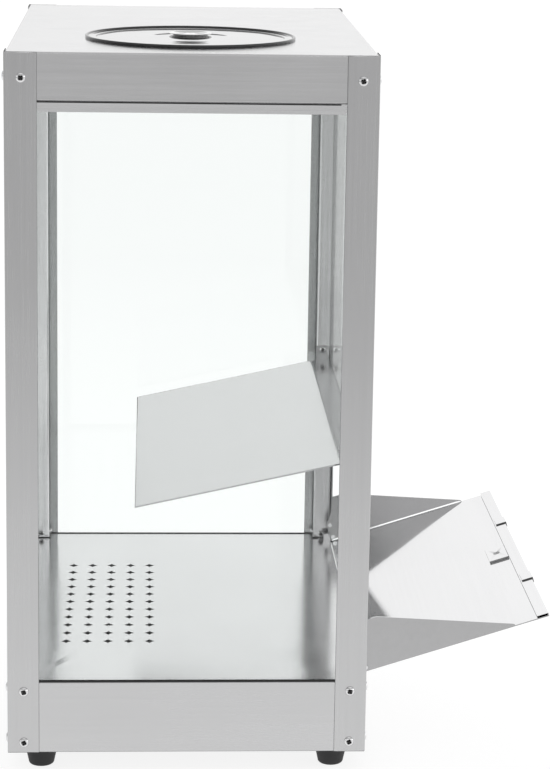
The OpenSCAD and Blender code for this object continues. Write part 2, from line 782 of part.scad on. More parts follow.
module lid_knob_screw() {
    color(zinc) translate([lid_x, 0, dish_z]) rotate([180, 0, 0]) pan_screw(3.9, 3.6, 9, 2.4, $fn = 32);
}

module foot_places() {
    for (x = [-1, 1] * (half_w - foot_inset_x), y = [-1, 1] * (half_d - foot_inset_y)) translate([x, y, 0]) children();
}

// Rubber foot with a recess for its screw.
module foot(sx, sy) {
    rb = foot_base_d / 2;
    rt = foot_top_d / 2;
    color(plastic_black) translate([sx * (half_w - foot_inset_x), sy * (half_d - foot_inset_y), 0]) rotate_extrude()
        polygon([
            [6, 0], [rb - 3, 0], [rb - 1.4, 0.6], [rb - 0.4, 1.8], [rb, 3.4], [rt - 0.4, foot_h - 2], [rt, foot_h - 1.4],
            [rt, foot_h],
            [2.7, foot_h], [2.7, foot_h * 0.4], [6, foot_h * 0.4]
        ]);
}

module foot_screws() {
    seat = foot_h * 0.4;
    plate = base_z + sheet_t;
    color(zinc) foot_places() {
        translate([0, 0, seat]) rotate([180, 0, 0]) pan_screw(5, plate - seat + 7, 10, 3, $fn = 32);
        translate([0, 0, plate]) difference() {
            cylinder(d = 9.2, h = 4, $fn = 6);
            translate([0, 0, -1]) cylinder(d = 5.1, h = 6, $fn = 32);
        }
    }
}

module case_screw() {
    pan_screw(screw_d, screw_len, screw_head_d, screw_head_h);
}

module screws_side(s) {
    color(zinc) at_side_screws(s) case_screw();
}

module screws_end(s) {
    color(zinc) at_end_screws(s) case_screw();
}

// Round clinch nuts behind the two or three sheets that each screw clamps.
module case_nuts() {
    two = post_t + panel_t;
    three = two + fit_gap + sheet_t;
    color(zinc) {
        for (s = [-1, 1]) {
            at_side_screws(s, [low_z, mid_z]) nut_ring(three);
            at_side_screws(s, [high_z]) nut_ring(two);
        }
        at_end_screws(-1, [low_z]) nut_ring(three);
        at_end_screws(-1, [mid_z, high_z]) nut_ring(two);
        at_end_screws(1, [low_z, mid_z]) nut_ring(three);
        at_end_screws(1, [high_z]) nut_ring(two);
    }
}

module nut_ring(depth) {
    translate([0, 0, -depth - nut_h]) difference() {
        cylinder(d = nut_d, h = nut_h, $fn = 32);
        translate([0, 0, -1]) cylinder(d = screw_d + 0.1, h = nut_h + 2, $fn = 32);
    }
}

module fan_screw_places() {
    for (x = [-1, 1] * fan_hole, y = [-1, 1] * fan_hole) translate([x, y, 0]) children();
}

// Square frame with a round duct and three struts that carry the motor hub.
module fan_frame() {
    color(plastic_black) translate([0, vent_y, fan_z]) difference() {
        union() {
            difference() {
                translate([-fan_w / 2, -fan_w / 2, 0]) cube([fan_w, fan_w, fan_t]);
                translate([0, 0, -1]) cylinder(r = fan_bore_r, h = fan_t + 2, $fn = 96);
            }
            for (turn = [90, 210, 330]) rotate(turn)
                translate([fan_hub_r - 3, -2.5, 0]) cube([fan_bore_r - fan_hub_r + 4.5, 5, 3]);
            cylinder(r = fan_hub_r, h = 4);
            cylinder(r = 6, h = 12);
        }
        translate([0, 0, 2]) cylinder(d = 4.1, h = 12, $fn = 32);
        fan_screw_places() translate([0, 0, -1]) cylinder(d = 4.4, h = fan_t + 2, $fn = 32);
    }
}

// Hub cap with pitched blades on a shaft that runs in the frame's hub.
module fan_rotor() {
    z0 = 5.5;
    z1 = fan_t - 2;
    color(plastic_black) translate([0, vent_y, fan_z]) {
        difference() {
            union() {
                translate([0, 0, z0]) cylinder(r = fan_hub_r, h = z1 - z0);
                intersection() {
                    translate([0, 0, z0]) difference() {
                        cylinder(r = fan_bore_r - 1.5, h = z1 - z0);
                        translate([0, 0, -1]) cylinder(r = fan_hub_r - 1, h = z1);
                    }
                    for (i = [0 : fan_blades - 1]) rotate(i * 360 / fan_blades)
                        translate([0, 0, (z0 + z1) / 2]) rotate([38, 0, 0])
                            translate([0, -18, -1]) cube([fan_bore_r, 36, 2]);
                }
            }
            translate([0, 0, z0 - 1]) cylinder(r = fan_hub_r - 3, h = z1 - z0 - 2);
        }
        translate([0, 0, 2.5]) cylinder(d = 4, h = z1 - 4, $fn = 32);
    }
}

module fan_screws() {
    color(zinc) translate([0, vent_y, fan_z + fan_t]) fan_screw_places() pan_screw(4, fan_t + 3, 7, 2, $fn = 32);
}

// Heater tube: two straight runs joined by a round bend, with cold ends that turn down.
module heater_element() {
    r = heater_d / 2;
    bend_r = heater_pitch / 2;
    turn_r = 1.5 * heater_d;
    drop = turn_r + 8;
    color([0.35, 0.33, 0.32]) translate([0, vent_y, heater_z]) {
        for (s = [-1, 1]) translate([-heater_len / 2, s * bend_r, 0]) rotate([0, 90, 0])
            cylinder(r = r, h = heater_len, $fn = 32);
        translate([heater_len / 2, 0, 0]) rotate(-90) rotate_extrude(angle = 180, $fn = 64)
            translate([bend_r, 0]) circle(r = r, $fn = 32);
        for (s = [-1, 1]) translate([-heater_len / 2, s * bend_r, 0]) {
            translate([0, 0, -turn_r]) rotate([90, 0, 0]) rotate(90) rotate_extrude(angle = 90, $fn = 64)
                translate([turn_r, 0]) circle(r = r, $fn = 32);
            translate([-turn_r, 0, -drop]) cylinder(r = r * 0.8, h = drop - turn_r + eps, $fn = 32);
        }
    }
}

// Hangers from the floor: each has two holes that the heater runs pass through.
module heater_brackets() {
    r = heater_d / 2 + 0.1;
    wide = heater_pitch + heater_d + 8;
    color(zinc) for (x = [-1, 1] * heater_len * 0.36) translate([x, vent_y, 0]) difference() {
        union() {
            block([0, -wide / 2, heater_z - heater_d / 2 - 2.5], [sheet_t, wide / 2, floor_z - sheet_t]);
            block([0, -4, floor_z - 2 * sheet_t], [9, 4, floor_z - sheet_t]);
        }
        for (s = [-1, 1]) translate([-1, s * heater_pitch / 2, heater_z]) rotate([0, 90, 0]) cylinder(r = r, h = sheet_t + 2, $fn = 32);
    }
}

// Snap disc thermostat under the floor, with two blade terminals.
module thermostat() {
    top = floor_z - sheet_t;
    color(plastic_black) translate([-half_w + 80, vent_y, top]) {
        translate([0, 0, -1]) cylinder(d = 24, h = 1, $fn = 48);
        translate([0, 0, -11]) cylinder(d = 16, h = 10 + eps, $fn = 48);
        for (s = [-1, 1]) translate([s * 4.5, 0, -15]) cube([0.8, 6, 9], center = true);
    }
}

// Terminal block for the mains wiring, screwed to the base plate.
module terminal_block() {
    color([0.9, 0.9, 0.86]) translate([inlet_x - 60, block_y, base_z + sheet_t]) difference() {
        union() {
            translate([-22, -block_d / 2, 0]) cube([44, block_d, 6]);
            for (i = [-1.5 : 1 : 1.5]) translate([i * 9 - 4, -block_d / 2, 0]) cube([8, block_d, 15]);
        }
        for (i = [-1.5 : 1 : 1.5]) translate([i * 9, 0, 9]) cylinder(d = 5, h = 8, $fn = 32);
    }
}

// Bezel and body of the switch in the rear panel.
module switch_bezel() {
    color(plastic_black) translate([-switch_x, skin_y, base_z + fitting_z]) difference() {
        union() {
            translate([-12.5, 0, -16.5]) cube([25, 2, 33]);
            translate([-11, -22, -15]) cube([22, 22 + eps, 30]);
            for (s = [-1, 1]) translate([s * 4, -26, 0]) cube([0.8, 10, 6.3], center = true);
        }
        translate([-9.6, -10, -12.9]) cube([19.2, 13, 25.8]);
        translate([-12.6, -4.5, 0]) rotate([0, 90, 0]) cylinder(d = 3, h = 25.2, $fn = 32);
    }
}

// Rocker with a hollow front, tilted so that its lower half is pressed in.
module switch_rocker() {
    color([0.16, 0.16, 0.17]) translate([-switch_x, skin_y - 4.5, base_z + fitting_z]) rotate([-rocker_tilt, 0, 0]) {
        slab_x(-9, 18) polygon([
            [5, 0], [8.2, 11.2], [7.4, 11.6], [-1, 11.6], [-4, 6], [-4, -6], [-1, -11.6], [7.4, -11.6], [8.2, -11.2]
        ]);
        translate([-10.9, 0, 0]) rotate([0, 90, 0]) cylinder(d = 2.9, h = 21.8, $fn = 32);
    }
}

// Inlet socket with a flange, in the rear panel.
module power_inlet() {
    color(plastic_black) translate([inlet_x, skin_y, base_z + fitting_z]) difference() {
        union() {
            hull() {
                for (s = [-1, 1]) translate([s * 20, 0, 0]) rotate([-90, 0, 0]) cylinder(r = 5, h = 3, $fn = 32);
                translate([-14.5, 0, -11.5]) cube([29, 3, 23]);
            }
            translate([-13.5, -17, -10]) cube([27, 17 + eps, 20]);
        }
        rotate([90, 0, 0]) translate([0, 0, -4]) linear_extrude(18)
            polygon([[-12.2, -8.2], [12.2, -8.2], [12.2, 3.5], [7.5, 8.2], [-7.5, 8.2], [-12.2, 3.5]]);
        for (s = [-1, 1]) translate([s * 20, -1, 0]) rotate([-90, 0, 0]) cylinder(d = 3.2, h = 6, $fn = 32);
        inlet_pin_shapes(0.05);
    }
}

// Three flat pins, each grown all round by a gap for the holes that they stand in.
module inlet_pin_shapes(gap) {
    for (p = [[-7, 2], [0, -2], [7, 2]])
        translate([p[0] - 1 - gap, -22, p[1] - 2 - gap]) cube([2 + 2 * gap, 21, 4 + 2 * gap]);
}

module inlet_pins() {
    color(zinc) translate([inlet_x, skin_y, base_z + fitting_z]) inlet_pin_shapes(0);
}

module inlet_screws() {
    color(zinc) for (s = [-1, 1])
        translate([inlet_x + s * 20, skin_y + 3, base_z + fitting_z]) rotate([-90, 0, 0]) pan_screw(3, 8, 5.6, 1.8, $fn = 32);
}

corner_post(-1, -1);  // post_front_left
corner_post(1, -1);  // post_front_right
corner_post(-1, 1);  // post_rear_left
corner_post(1, 1);  // post_rear_right
column(-1, -1);  // column_front_left
column(1, -1);  // column_front_right
column(-1, 1);  // column_rear_left
column(1, 1);  // column_rear_right
top_cover();
base_panel_side(-1);  // base_panel_left
base_panel_side(1);  // base_panel_right
base_panel_front();
base_panel_rear();
base_plate();
floor_plate();
glass_side(-1);  // glass_left
glass_side(1);  // glass_right
glass_end(-1, ledge_z);  // glass_front
glass_end(1, glass_foot_z);  // glass_rear
glass_channel_side(-1);  // glass_channel_left
glass_channel_side(1);  // glass_channel_right
glass_channel_end(-1);  // glass_channel_front
glass_channel_end(1);  // glass_channel_rear
glass_seals();
deflector();
deflector_screws();
magnetic_catch();
catch_screws();
door();
door_pull();
strike_plate();
strike_screw();
door_stop_pins();
hinge_pins();
lid();
lid_knob();
lid_knob_screw();
foot(-1, -1);  // foot_front_left
foot(1, -1);  // foot_front_right
foot(-1, 1);  // foot_rear_left
foot(1, 1);  // foot_rear_right
foot_screws();
screws_side(-1);  // screws_left
screws_side(1);  // screws_right
screws_end(-1);  // screws_front
screws_end(1);  // screws_rear
case_nuts();
column_screws();
fan_frame();
fan_rotor();
fan_screws();
heater_element();
heater_brackets();
thermostat();
terminal_block();
switch_bezel();
switch_rocker();
power_inlet();
inlet_pins();
inlet_screws();
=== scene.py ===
import math

import bmesh
import bpy
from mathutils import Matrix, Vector


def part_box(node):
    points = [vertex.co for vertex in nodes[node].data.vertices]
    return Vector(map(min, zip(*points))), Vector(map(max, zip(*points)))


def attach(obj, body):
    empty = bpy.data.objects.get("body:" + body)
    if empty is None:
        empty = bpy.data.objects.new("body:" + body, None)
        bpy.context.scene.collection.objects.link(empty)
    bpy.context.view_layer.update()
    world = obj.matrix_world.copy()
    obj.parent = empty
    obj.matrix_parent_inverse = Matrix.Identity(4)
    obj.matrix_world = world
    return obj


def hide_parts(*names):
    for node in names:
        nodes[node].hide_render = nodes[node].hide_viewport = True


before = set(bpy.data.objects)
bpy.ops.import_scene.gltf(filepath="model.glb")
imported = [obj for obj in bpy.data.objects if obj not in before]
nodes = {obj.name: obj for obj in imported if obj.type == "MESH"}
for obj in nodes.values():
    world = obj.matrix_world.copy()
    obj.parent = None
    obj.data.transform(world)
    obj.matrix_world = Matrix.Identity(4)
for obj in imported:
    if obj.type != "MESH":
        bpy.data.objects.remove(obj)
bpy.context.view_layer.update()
scene = bpy.context.scene
mm = 0.001
print("stage: packed model loaded,", len(nodes), "nodes")

cameraSetup = {
    "place": (-2.5327, 0.03804, 0.89351),    # metres, solved from the corners of the case in the photo
    "turn": (77.7824, -0.9887, -93.1871),    # degrees
    "lens": 122.17,                          # millimetres
    "film": 36,                              # long side of the film, in millimetres
    "shift": (-0.03163, -0.04128),
    "clip": (0.05, 60),                      # nearest and farthest thing that it sees, in metres
}


def addCamera(c):
    data = bpy.data.cameras.new("photoCamera")
    data.lens = c["lens"]
    data.sensor_width = c["film"]
    data.shift_x, data.shift_y = c["shift"]
    data.clip_start, data.clip_end = c["clip"]
    camera = bpy.data.objects.new("photoCamera", data)
    camera.location = c["place"]
    camera.rotation_euler = [math.radians(a) for a in c["turn"]]
    scene.collection.objects.link(camera)
    scene.camera = camera


addCamera(cameraSetup)

socketNames = {"colour": "Base Color", "metal": "Metallic", "rough": "Roughness", "aniso": "Anisotropic",
               "clear": "Transmission Weight", "ior": "IOR", "specular": "Specular IOR Level"}
everyWay = (1, 1, 1)
noiseSetup = {"step": (3.7, 1.3, 2.1), "rough": 0.6}    # a seed moves the pattern by that many steps
bumpDistance = 0.0003                                   # metres that a bump of strength 1 stands for
mergeWithin = 2e-6                                      # metres between the doubles of a CAD mesh
poleWithin = 1e-6                                       # and of a turned one
speck = 1e-7                                            # metres, an edge this short is dissolved


def startMaterial(name):
    mat = bpy.data.materials.new(name)
    mat.use_nodes = True
    shader = mat.node_tree.nodes["Principled BSDF"]
    return mat, mat.node_tree.nodes, mat.node_tree.links, shader


def setSockets(shader, **values):
    for key, value in values.items():
        shader.inputs[socketNames[key]].default_value = (*value, 1) if key == "colour" else value


def mathNode(n, link, operation, *sources):
    node = n.new("ShaderNodeMath")
    node.operation = operation
    for i, source in enumerate(sources):
        if isinstance(source, (int, float)):
            node.inputs[i].default_value = source
        else:
            link.new(source, node.inputs[i])
    return node.outputs[0]


def vectorNode(n, link, operation, *sources):
    node = n.new("ShaderNodeVectorMath")
    node.operation = operation
    for i, source in enumerate(sources):
        if isinstance(source, tuple):
            node.inputs[i].default_value = source
        else:
            link.new(source, node.inputs[i])
    return node.outputs["Value" if operation == "LENGTH" else "Vector"]


def coordinate(n, kind):
    return n.new("ShaderNodeTexCoord").outputs[kind]


def stretchedNoise(n, link, scale, size, detail, seed):
    mapping = n.new("ShaderNodeMapping")
    mapping.inputs["Scale"].default_value = scale
    mapping.inputs["Location"].default_value = [seed * step for step in noiseSetup["step"]]
    noise = n.new("ShaderNodeTexNoise")
    noise.inputs["Scale"].default_value = size
    noise.inputs["Detail"].default_value = detail
    noise.inputs["Roughness"].default_value = noiseSetup["rough"]
    link.new(coordinate(n, "Object"), mapping.inputs["Vector"])
    link.new(mapping.outputs["Vector"], noise.inputs["Vector"])
    return noise.outputs["Fac"]


def spread(n, link, source, low, high, fromLow=0.3, fromHigh=0.7):
    # Stretches a value from one range to another. A single noise lies in the range given here.
    node = n.new("ShaderNodeMapRange")
    node.inputs["From Min"].default_value = fromLow
    node.inputs["From Max"].default_value = fromHigh
    node.inputs["To Min"].default_value = low
    node.inputs["To Max"].default_value = high
    link.new(source, node.inputs["Value"])
    return node.outputs["Result"]


def greyBlend(n, link, fac, tone, change, tint=(1, 1, 1)):
    mix = n.new("ShaderNodeMix")
    mix.data_type = "RGBA"
    mix.inputs[6].default_value = (*[min(1, tone * (1 - change) * t) for t in tint], 1)
    mix.inputs[7].default_value = (*[min(1, tone * (1 + change) * t) for t in tint], 1)
    link.new(fac, mix.inputs[0])
    return mix.outputs[2]


def addBump(n, link, shader, height, depth):
    bump = n.new("ShaderNodeBump")
    bump.inputs["Strength"].default_value = depth
    bump.inputs["Distance"].default_value = bumpDistance
    link.new(height, bump.inputs["Height"])
    link.new(bump.outputs["Normal"], shader.inputs["Normal"])


# Brightness of the room, by the height of the direction (-1 straight down, 1 straight up).
studio = {
    "backdrop": 1.0,                  # what the camera sees behind the cabinet
    "behind": [(-1, 1.06), (0, 0.98), (0.1, 1.04), (0.25, 1.2), (0.34, 1.35), (0.48, 0.8), (0.62, 0.55),
               (0.8, 0.7), (1, 0.9)],
    "near": [(-1, 0.9), (-0.2, 0.68), (0, 0.56), (0.08, 0.7), (0.2, 1.3), (0.34, 1.2), (0.42, 0.6),
             (0.5, 0.4), (0.65, 0.5), (1, 0.9)],
    "sides": [(-1, 1.35), (-0.6, 1.1), (0, 1.0), (0.55, 0.88), (1, 0.75)],   # by how far it points rearward
    "blend": 0.45,                    # x of the direction where one half of the room has become the other
    "paper": 0.21,                    # colour of the floor paper
    "paperRough": 0.9,
    "paperShine": 0.1,
    # light that the paper gives off, by x in metres
    "glow": [(-3, 0.42), (-2, 0.56), (-0.35, 0.84), (0.4, 0.92), (2.5, 0.87), (9, 0.85)],
    "reach": (-3.0, 9.0, 4.5),        # left edge, right edge, half depth of the paper, in metres
    "drop": 0.0002,                   # of the paper under the feet, in metres
}
rampShare = 2    # a colour ramp holds values up to 1, so its stops are divided by this


def curveNode(n, link, source, stops, low, high):
    fit = spread(n, link, source, 0, 1, low, high)
    ramp = n.new("ShaderNodeValToRGB")
    while len(ramp.color_ramp.elements) < len(stops):
        ramp.color_ramp.elements.new(0.5)
    for i, (place, value) in enumerate(stops):
        element = ramp.color_ramp.elements[i]
        element.position = (place - low) / (high - low)
        element.color = (value / rampShare, value / rampShare, value / rampShare, 1)
    link.new(fit, ramp.inputs["Fac"])
    return ramp.outputs["Color"]


def buildRoom(s):
    world = bpy.data.worlds.new("studioWorld")
    scene.world = world
    world.use_nodes = True
    n, link = world.node_tree.nodes, world.node_tree.links
    n.clear()
    direction = n.new("ShaderNodeSeparateXYZ")
    link.new(coordinate(n, "Generated"), direction.inputs[0])
    side = spread(n, link, direction.outputs["X"], 0, 1, -s["blend"], s["blend"])
    side.node.interpolation_type = "SMOOTHSTEP"
    room = n.new("ShaderNodeMix")
    room.data_type = "RGBA"
    link.new(side, room.inputs[0])
    link.new(curveNode(n, link, direction.outputs["Z"], s["near"], -1, 1), room.inputs[6])
    link.new(curveNode(n, link, direction.outputs["Z"], s["behind"], -1, 1), room.inputs[7])
    gain = curveNode(n, link, direction.outputs["Y"], s["sides"], -1, 1)
    lit = n.new("ShaderNodeBackground")
    link.new(room.outputs[2], lit.inputs["Color"])
    link.new(mathNode(n, link, "MULTIPLY", gain, rampShare ** 2), lit.inputs["Strength"])
    seen = n.new("ShaderNodeBackground")
    seen.inputs["Color"].default_value = (1, 1, 1, 1)
    seen.inputs["Strength"].default_value = s["backdrop"]
    pick = n.new("ShaderNodeMixShader")
    link.new(n.new("ShaderNodeLightPath").outputs["Is Camera Ray"], pick.inputs[0])
    link.new(lit.outputs[0], pick.inputs[1])
    link.new(seen.outputs[0], pick.inputs[2])
    link.new(pick.outputs[0], n.new("ShaderNodeOutputWorld").inputs["Surface"])


def layPaper(s):
    left, right, deep = s["reach"]
    corners = [(left, -deep, 0), (right, -deep, 0), (right, deep, 0), (left, deep, 0)]
    mesh = bpy.data.meshes.new("studioFloor")
    mesh.from_pydata(corners, [], [(0, 1, 2, 3)])
    floor = bpy.data.objects.new("studioFloor", mesh)
    floor.location.z = -s["drop"]
    scene.collection.objects.link(floor)
    paper, n, link, shader = startMaterial("studioPaper")
    setSockets(shader, colour=(s["paper"],) * 3, rough=s["paperRough"], specular=s["paperShine"])
    shader.inputs["Emission Color"].default_value = (1, 1, 1, 1)
    place = n.new("ShaderNodeSeparateXYZ")
    link.new(coordinate(n, "Object"), place.inputs[0])
    glow = curveNode(n, link, place.outputs["X"], s["glow"], left, right)
    link.new(mathNode(n, link, "MULTIPLY", glow, rampShare), shader.inputs["Emission Strength"])
    mesh.materials.append(paper)


buildRoom(studio)
layPaper(studio)
scene.view_settings.view_transform = "Standard"
print("stage: camera, light and floor")

# The grain is the way the brushing runs: "z" upright, "level" round the case, "x" or "y" along that axis.
steelFinishes = {
    "postSteel": dict(tone=0.56, rough=0.24, grain="z", streak=0.035, depth=0.012, aniso=0.6),
    # the front columns' copy of the column steel is toned darker: painted shade
    "frontColumnSteel": dict(tone=0.72, rough=0.24, grain="z", streak=0.035, depth=0.012, aniso=0.6),
    "columnSteel": dict(tone=0.9, rough=0.24, grain="z", streak=0.035, depth=0.012, aniso=0.6),
    "panelSteel": dict(tone=0.59, rough=0.24, grain="level", streak=0.03, depth=0.012, aniso=0.6),
    "coverSteel": dict(tone=0.59, rough=0.22, grain="level", streak=0.03, depth=0.01, aniso=0.5),
    "floorSteel": dict(tone=0.62, rough=0.17, grain="y", streak=0.012, depth=0.002, aniso=0.3),
    "deflectorSteel": dict(tone=0.53, rough=0.18, grain="x", streak=0.03, depth=0.008, aniso=0.4),
    "doorSteel": dict(tone=0.63, rough=0.07, grain="x", streak=0.02, depth=0.004, aniso=0.3),
    # darker, rougher copy of the door steel for the side wings of the door; the darker tone is painted shade
    "wingShadeSteel": dict(tone=0.45, rough=0.2, grain="x", streak=0.04, depth=0.01, aniso=0.3),
    # near-black copy of the steel: painted shade and dark reflection on the lid's rolled rim
    "rimShadeSteel": dict(tone=0.07, rough=0.14, grain="", streak=0.1, depth=0.004, aniso=0.0),
    # near-white steel that paints highlights: on the fillet along the door's inner folds and on the pull's
    # rearward faces
    "foldHighlightSteel": dict(tone=0.92, rough=0.12, grain="", streak=0.02, depth=0.01, aniso=0.0),
    "channelSteel": dict(tone=0.66, rough=0.26, grain="level", streak=0.03, depth=0.01, aniso=0.4),
    "zincSteel": dict(tone=0.78, rough=0.16, grain="", streak=0.05, depth=0.01, aniso=0.0),
    # near-black steel for the base plate: paints the shade inside the base
    "cavityShadeSteel": dict(tone=0.16, rough=0.5, grain="x", streak=0.08, depth=0.02, aniso=0.0),
    # near-black steel that paints shade: in screw recesses, on the pull's cut ends, in the air holes and under
    # the bin floor
    "recessShadeSteel": dict(tone=0.1, rough=0.34, grain="", streak=0.2, depth=0.02, aniso=0.0),
    # dark grey steel that paints shade in screw sockets, on the lid's step and on the strike plate's sides; it
    # is also the whole strike screw's finish
    "darkShadeSteel": dict(tone=0.3, rough=0.3, grain="", streak=0.2, depth=0.02, aniso=0.0),
    "heaterSteel": dict(tone=0.2, rough=0.42, grain="", streak=0.25, depth=0.03, aniso=0.0,
                        tint=(1.0, 0.93, 0.88)),
}
steelTint = (1, 1, 1.008)
grainScales = {"z": (1, 1, 0.01), "level": (0.01, 0.01, 1), "x": (0.01, 1, 1), "y": (1, 0.01, 1),
               "": everyWay}
grainAxes = {"z": (0, 0, 1), "x": (1, 0, 0), "y": (0, 1, 0)}
grainNudge = (0.001, 0, 0)                # keeps the level direction from vanishing on flat faces
brushing = {
    "fine": (2600, 2, 1),                 # scale, detail and seed of each noise
    "broad": (240, 3, 2),
    "cloud": (7, 3, 3),
    "sumOfTwo": (0.7, 1.3),               # the range in which the added noises lie
    "sumOfThree": (1.15, 1.85),
    "span": (0.85, 1.15),                 # what the grain multiplies the roughness by
    "wear": (-0.015, 0.025),              # what the cloud adds to it
}


def acrossGrain(n, link, grain):
    face = n.new("ShaderNodeNewGeometry").outputs["Normal"]
    if grain == "level":
        run = vectorNode(n, link, "ADD", vectorNode(n, link, "CROSS_PRODUCT", face, (0, 0, 1)), grainNudge)
    else:
        run = grainAxes[grain]
    return vectorNode(n, link, "NORMALIZE", vectorNode(n, link, "CROSS_PRODUCT", face, run))


def brushedSteel(name, f):
    mat, n, link, shader = startMaterial(name)
    setSockets(shader, metal=1.0, rough=f["rough"], aniso=f["aniso"])
    b, scale = brushing, grainScales[f["grain"]]
    fine = stretchedNoise(n, link, scale, *b["fine"])
    broad = stretchedNoise(n, link, scale, *b["broad"])
    cloud = stretchedNoise(n, link, everyWay, *b["cloud"])
    both = mathNode(n, link, "ADD", fine, broad)
    streaks = spread(n, link, mathNode(n, link, "ADD", both, cloud), 0, 1, *b["sumOfThree"])
    grey = greyBlend(n, link, streaks, f["tone"], f["streak"], f.get("tint", steelTint))
    link.new(grey, shader.inputs["Base Color"])
    low, high = b["span"]
    grit = spread(n, link, both, f["rough"] * low, f["rough"] * high, *b["sumOfTwo"])
    wear = spread(n, link, cloud, *b["wear"])
    link.new(mathNode(n, link, "ADD", wear, grit), shader.inputs["Roughness"])
    addBump(n, link, shader, both, f["depth"])
    if f["grain"]:
        link.new(acrossGrain(n, link, f["grain"]), shader.inputs["Tangent"])
    return mat


finishes = {name: brushedSteel(name, f) for name, f in steelFinishes.items()}

glassSetup = {"colour": (0.96, 0.974, 0.969), "ior": 1.35, "rough": 0.0}
edgeSetup = {"colour": (0.05, 0.08, 0.072), "ior": 1.5, "rough": 0.35, "wear": (0.28, 0.42), "shade": 0.3,
             "cloud": (260, 3, 7)}
brassSetup = {"colour": (0.72, 0.58, 0.3), "rough": 0.25, "wear": (0.18, 0.34), "cloud": (300, 3, 6)}
plasticFinishes = {
    "footRubber": {"colour": (0.012, 0.012, 0.0125), "rough": 0.6, "grit": 900, "depth": 0.12},
    "sealRubber": {"colour": (0.012, 0.012, 0.012), "rough": 0.7, "grit": 1600, "depth": 0.1},
    "blackPlastic": {"colour": (0.022, 0.022, 0.023), "rough": 0.42, "grit": 1400, "depth": 0.06},
    "rockerPlastic": {"colour": (0.03, 0.03, 0.032), "rough": 0.25, "grit": 1400, "depth": 0.02},
    "palePlastic": {"colour": (0.7, 0.69, 0.63), "rough": 0.45, "grit": 900, "depth": 0.05},
}
moulding = {
    "grit": (3, 4),            # detail and seed of the fine grit
    "dust": (40, 4, 5),        # scale, detail and seed of the dust
    "dull": (-0.06, 0.1),      # what the dust adds to the roughness
    "shade": 0.25,
}


def paneGlass(g):
    mat, n, link, shader = startMaterial("paneGlass")
    setSockets(shader, colour=g["colour"], rough=g["rough"], ior=g["ior"], clear=1.0)
    return mat


def groundEdge(e):
    # Seamed edge of a pane: the light that gets out there has crossed a lot of green glass.
    mat, n, link, shader = startMaterial("glassEdge")
    setSockets(shader, colour=e["colour"], rough=e["rough"], ior=e["ior"])
    cloud = stretchedNoise(n, link, everyWay, *e["cloud"])
    link.new(greyBlend(n, link, cloud, 1, e["shade"], e["colour"]), shader.inputs["Base Color"])
    link.new(spread(n, link, cloud, *e["wear"]), shader.inputs["Roughness"])
    return mat


def pinBrass(b):
    mat, n, link, shader = startMaterial("pinBrass")
    setSockets(shader, colour=b["colour"], metal=1.0, rough=b["rough"])
    cloud = stretchedNoise(n, link, everyWay, *b["cloud"])
    link.new(spread(n, link, cloud, *b["wear"]), shader.inputs["Roughness"])
    return mat


def mouldedPlastic(name, f):
    mat, n, link, shader = startMaterial(name)
    setSockets(shader, colour=f["colour"], rough=f["rough"])
    grit = stretchedNoise(n, link, everyWay, f["grit"], *moulding["grit"])
    dust = stretchedNoise(n, link, everyWay, *moulding["dust"])
    low, high = moulding["dull"]
    link.new(spread(n, link, dust, f["rough"] + low, f["rough"] + high), shader.inputs["Roughness"])
    link.new(greyBlend(n, link, dust, 1, moulding["shade"], f["colour"]), shader.inputs["Base Color"])
    addBump(n, link, shader, grit, f["depth"])
    return mat


finishes["paneGlass"] = paneGlass(glassSetup)
finishes["glassEdge"] = groundEdge(edgeSetup)
finishes["pinBrass"] = pinBrass(brassSetup)
for name, f in plasticFinishes.items():
    finishes[name] = mouldedPlastic(name, f)

spunSetup = {"tone": 0.52, "rough": 0.05, "rings": 1400, "detail": 3, "depth": 0.006, "aniso": 0.4,
             "streak": 0.03}
# the knob's steel is a lighter, rougher copy of the lid's spun steel; the lighter tone is painted light on its
# flank
knobLitSetup = {**spunSetup, "tone": 0.72, "rough": 0.12}
spunSpan = (0.8, 1.25)    # what the rings multiply the roughness by


def spunSteel(name, s, centre):
    mat, n, link, shader = startMaterial(name)
    setSockets(shader, metal=1.0, rough=s["rough"], aniso=s["aniso"])
    offset = vectorNode(n, link, "SUBTRACT", coordinate(n, "Object"), (centre[0], centre[1], 0.0))
    flat = vectorNode(n, link, "MULTIPLY", offset, (1.0, 1.0, 0.0))
    ring = n.new("ShaderNodeTexNoise")
    ring.noise_dimensions = "1D"
    ring.inputs["Scale"].default_value = s["rings"]
    ring.inputs["Detail"].default_value = s["detail"]
    link.new(vectorNode(n, link, "LENGTH", flat), ring.inputs["W"])
    rings = ring.outputs["Fac"]
    link.new(greyBlend(n, link, rings, s["tone"], s["streak"]), shader.inputs["Base Color"])
    low, high = spunSpan
    link.new(spread(n, link, rings, s["rough"] * low, s["rough"] * high), shader.inputs["Roughness"])
    link.new(vectorNode(n, link, "NORMALIZE", flat), shader.inputs["Tangent"])
    addBump(n, link, shader, rings, s["depth"])
    return mat


def boxCentre(node):
    low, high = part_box(node)
    return (low + high) / 2


lidCentre = boxCentre("lid")
finishes["spunSteel"] = spunSteel("spunSteel", spunSetup, lidCentre)
finishes["knobLitSteel"] = spunSteel("knobLitSteel", knobLitSetup, boxCentre("lid_knob"))
print("stage: finishes,", len(finishes))


def newPiece(name, mesh, finish, body, stands=()):
    piece = bpy.data.objects.new(name, mesh)
    scene.collection.objects.link(piece)
    if finish:
        mesh.materials.clear()
        mesh.materials.append(finishes[finish])
    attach(piece, body)
    if stands:
        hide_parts(*stands)
    return piece


def addFinish(mesh, finish, test):
    # Gives a further finish to the faces that pass the test.
    mesh.materials.append(finishes[finish])
    for face in mesh.polygons:
        if test(face):
            face.material_index = len(mesh.materials) - 1


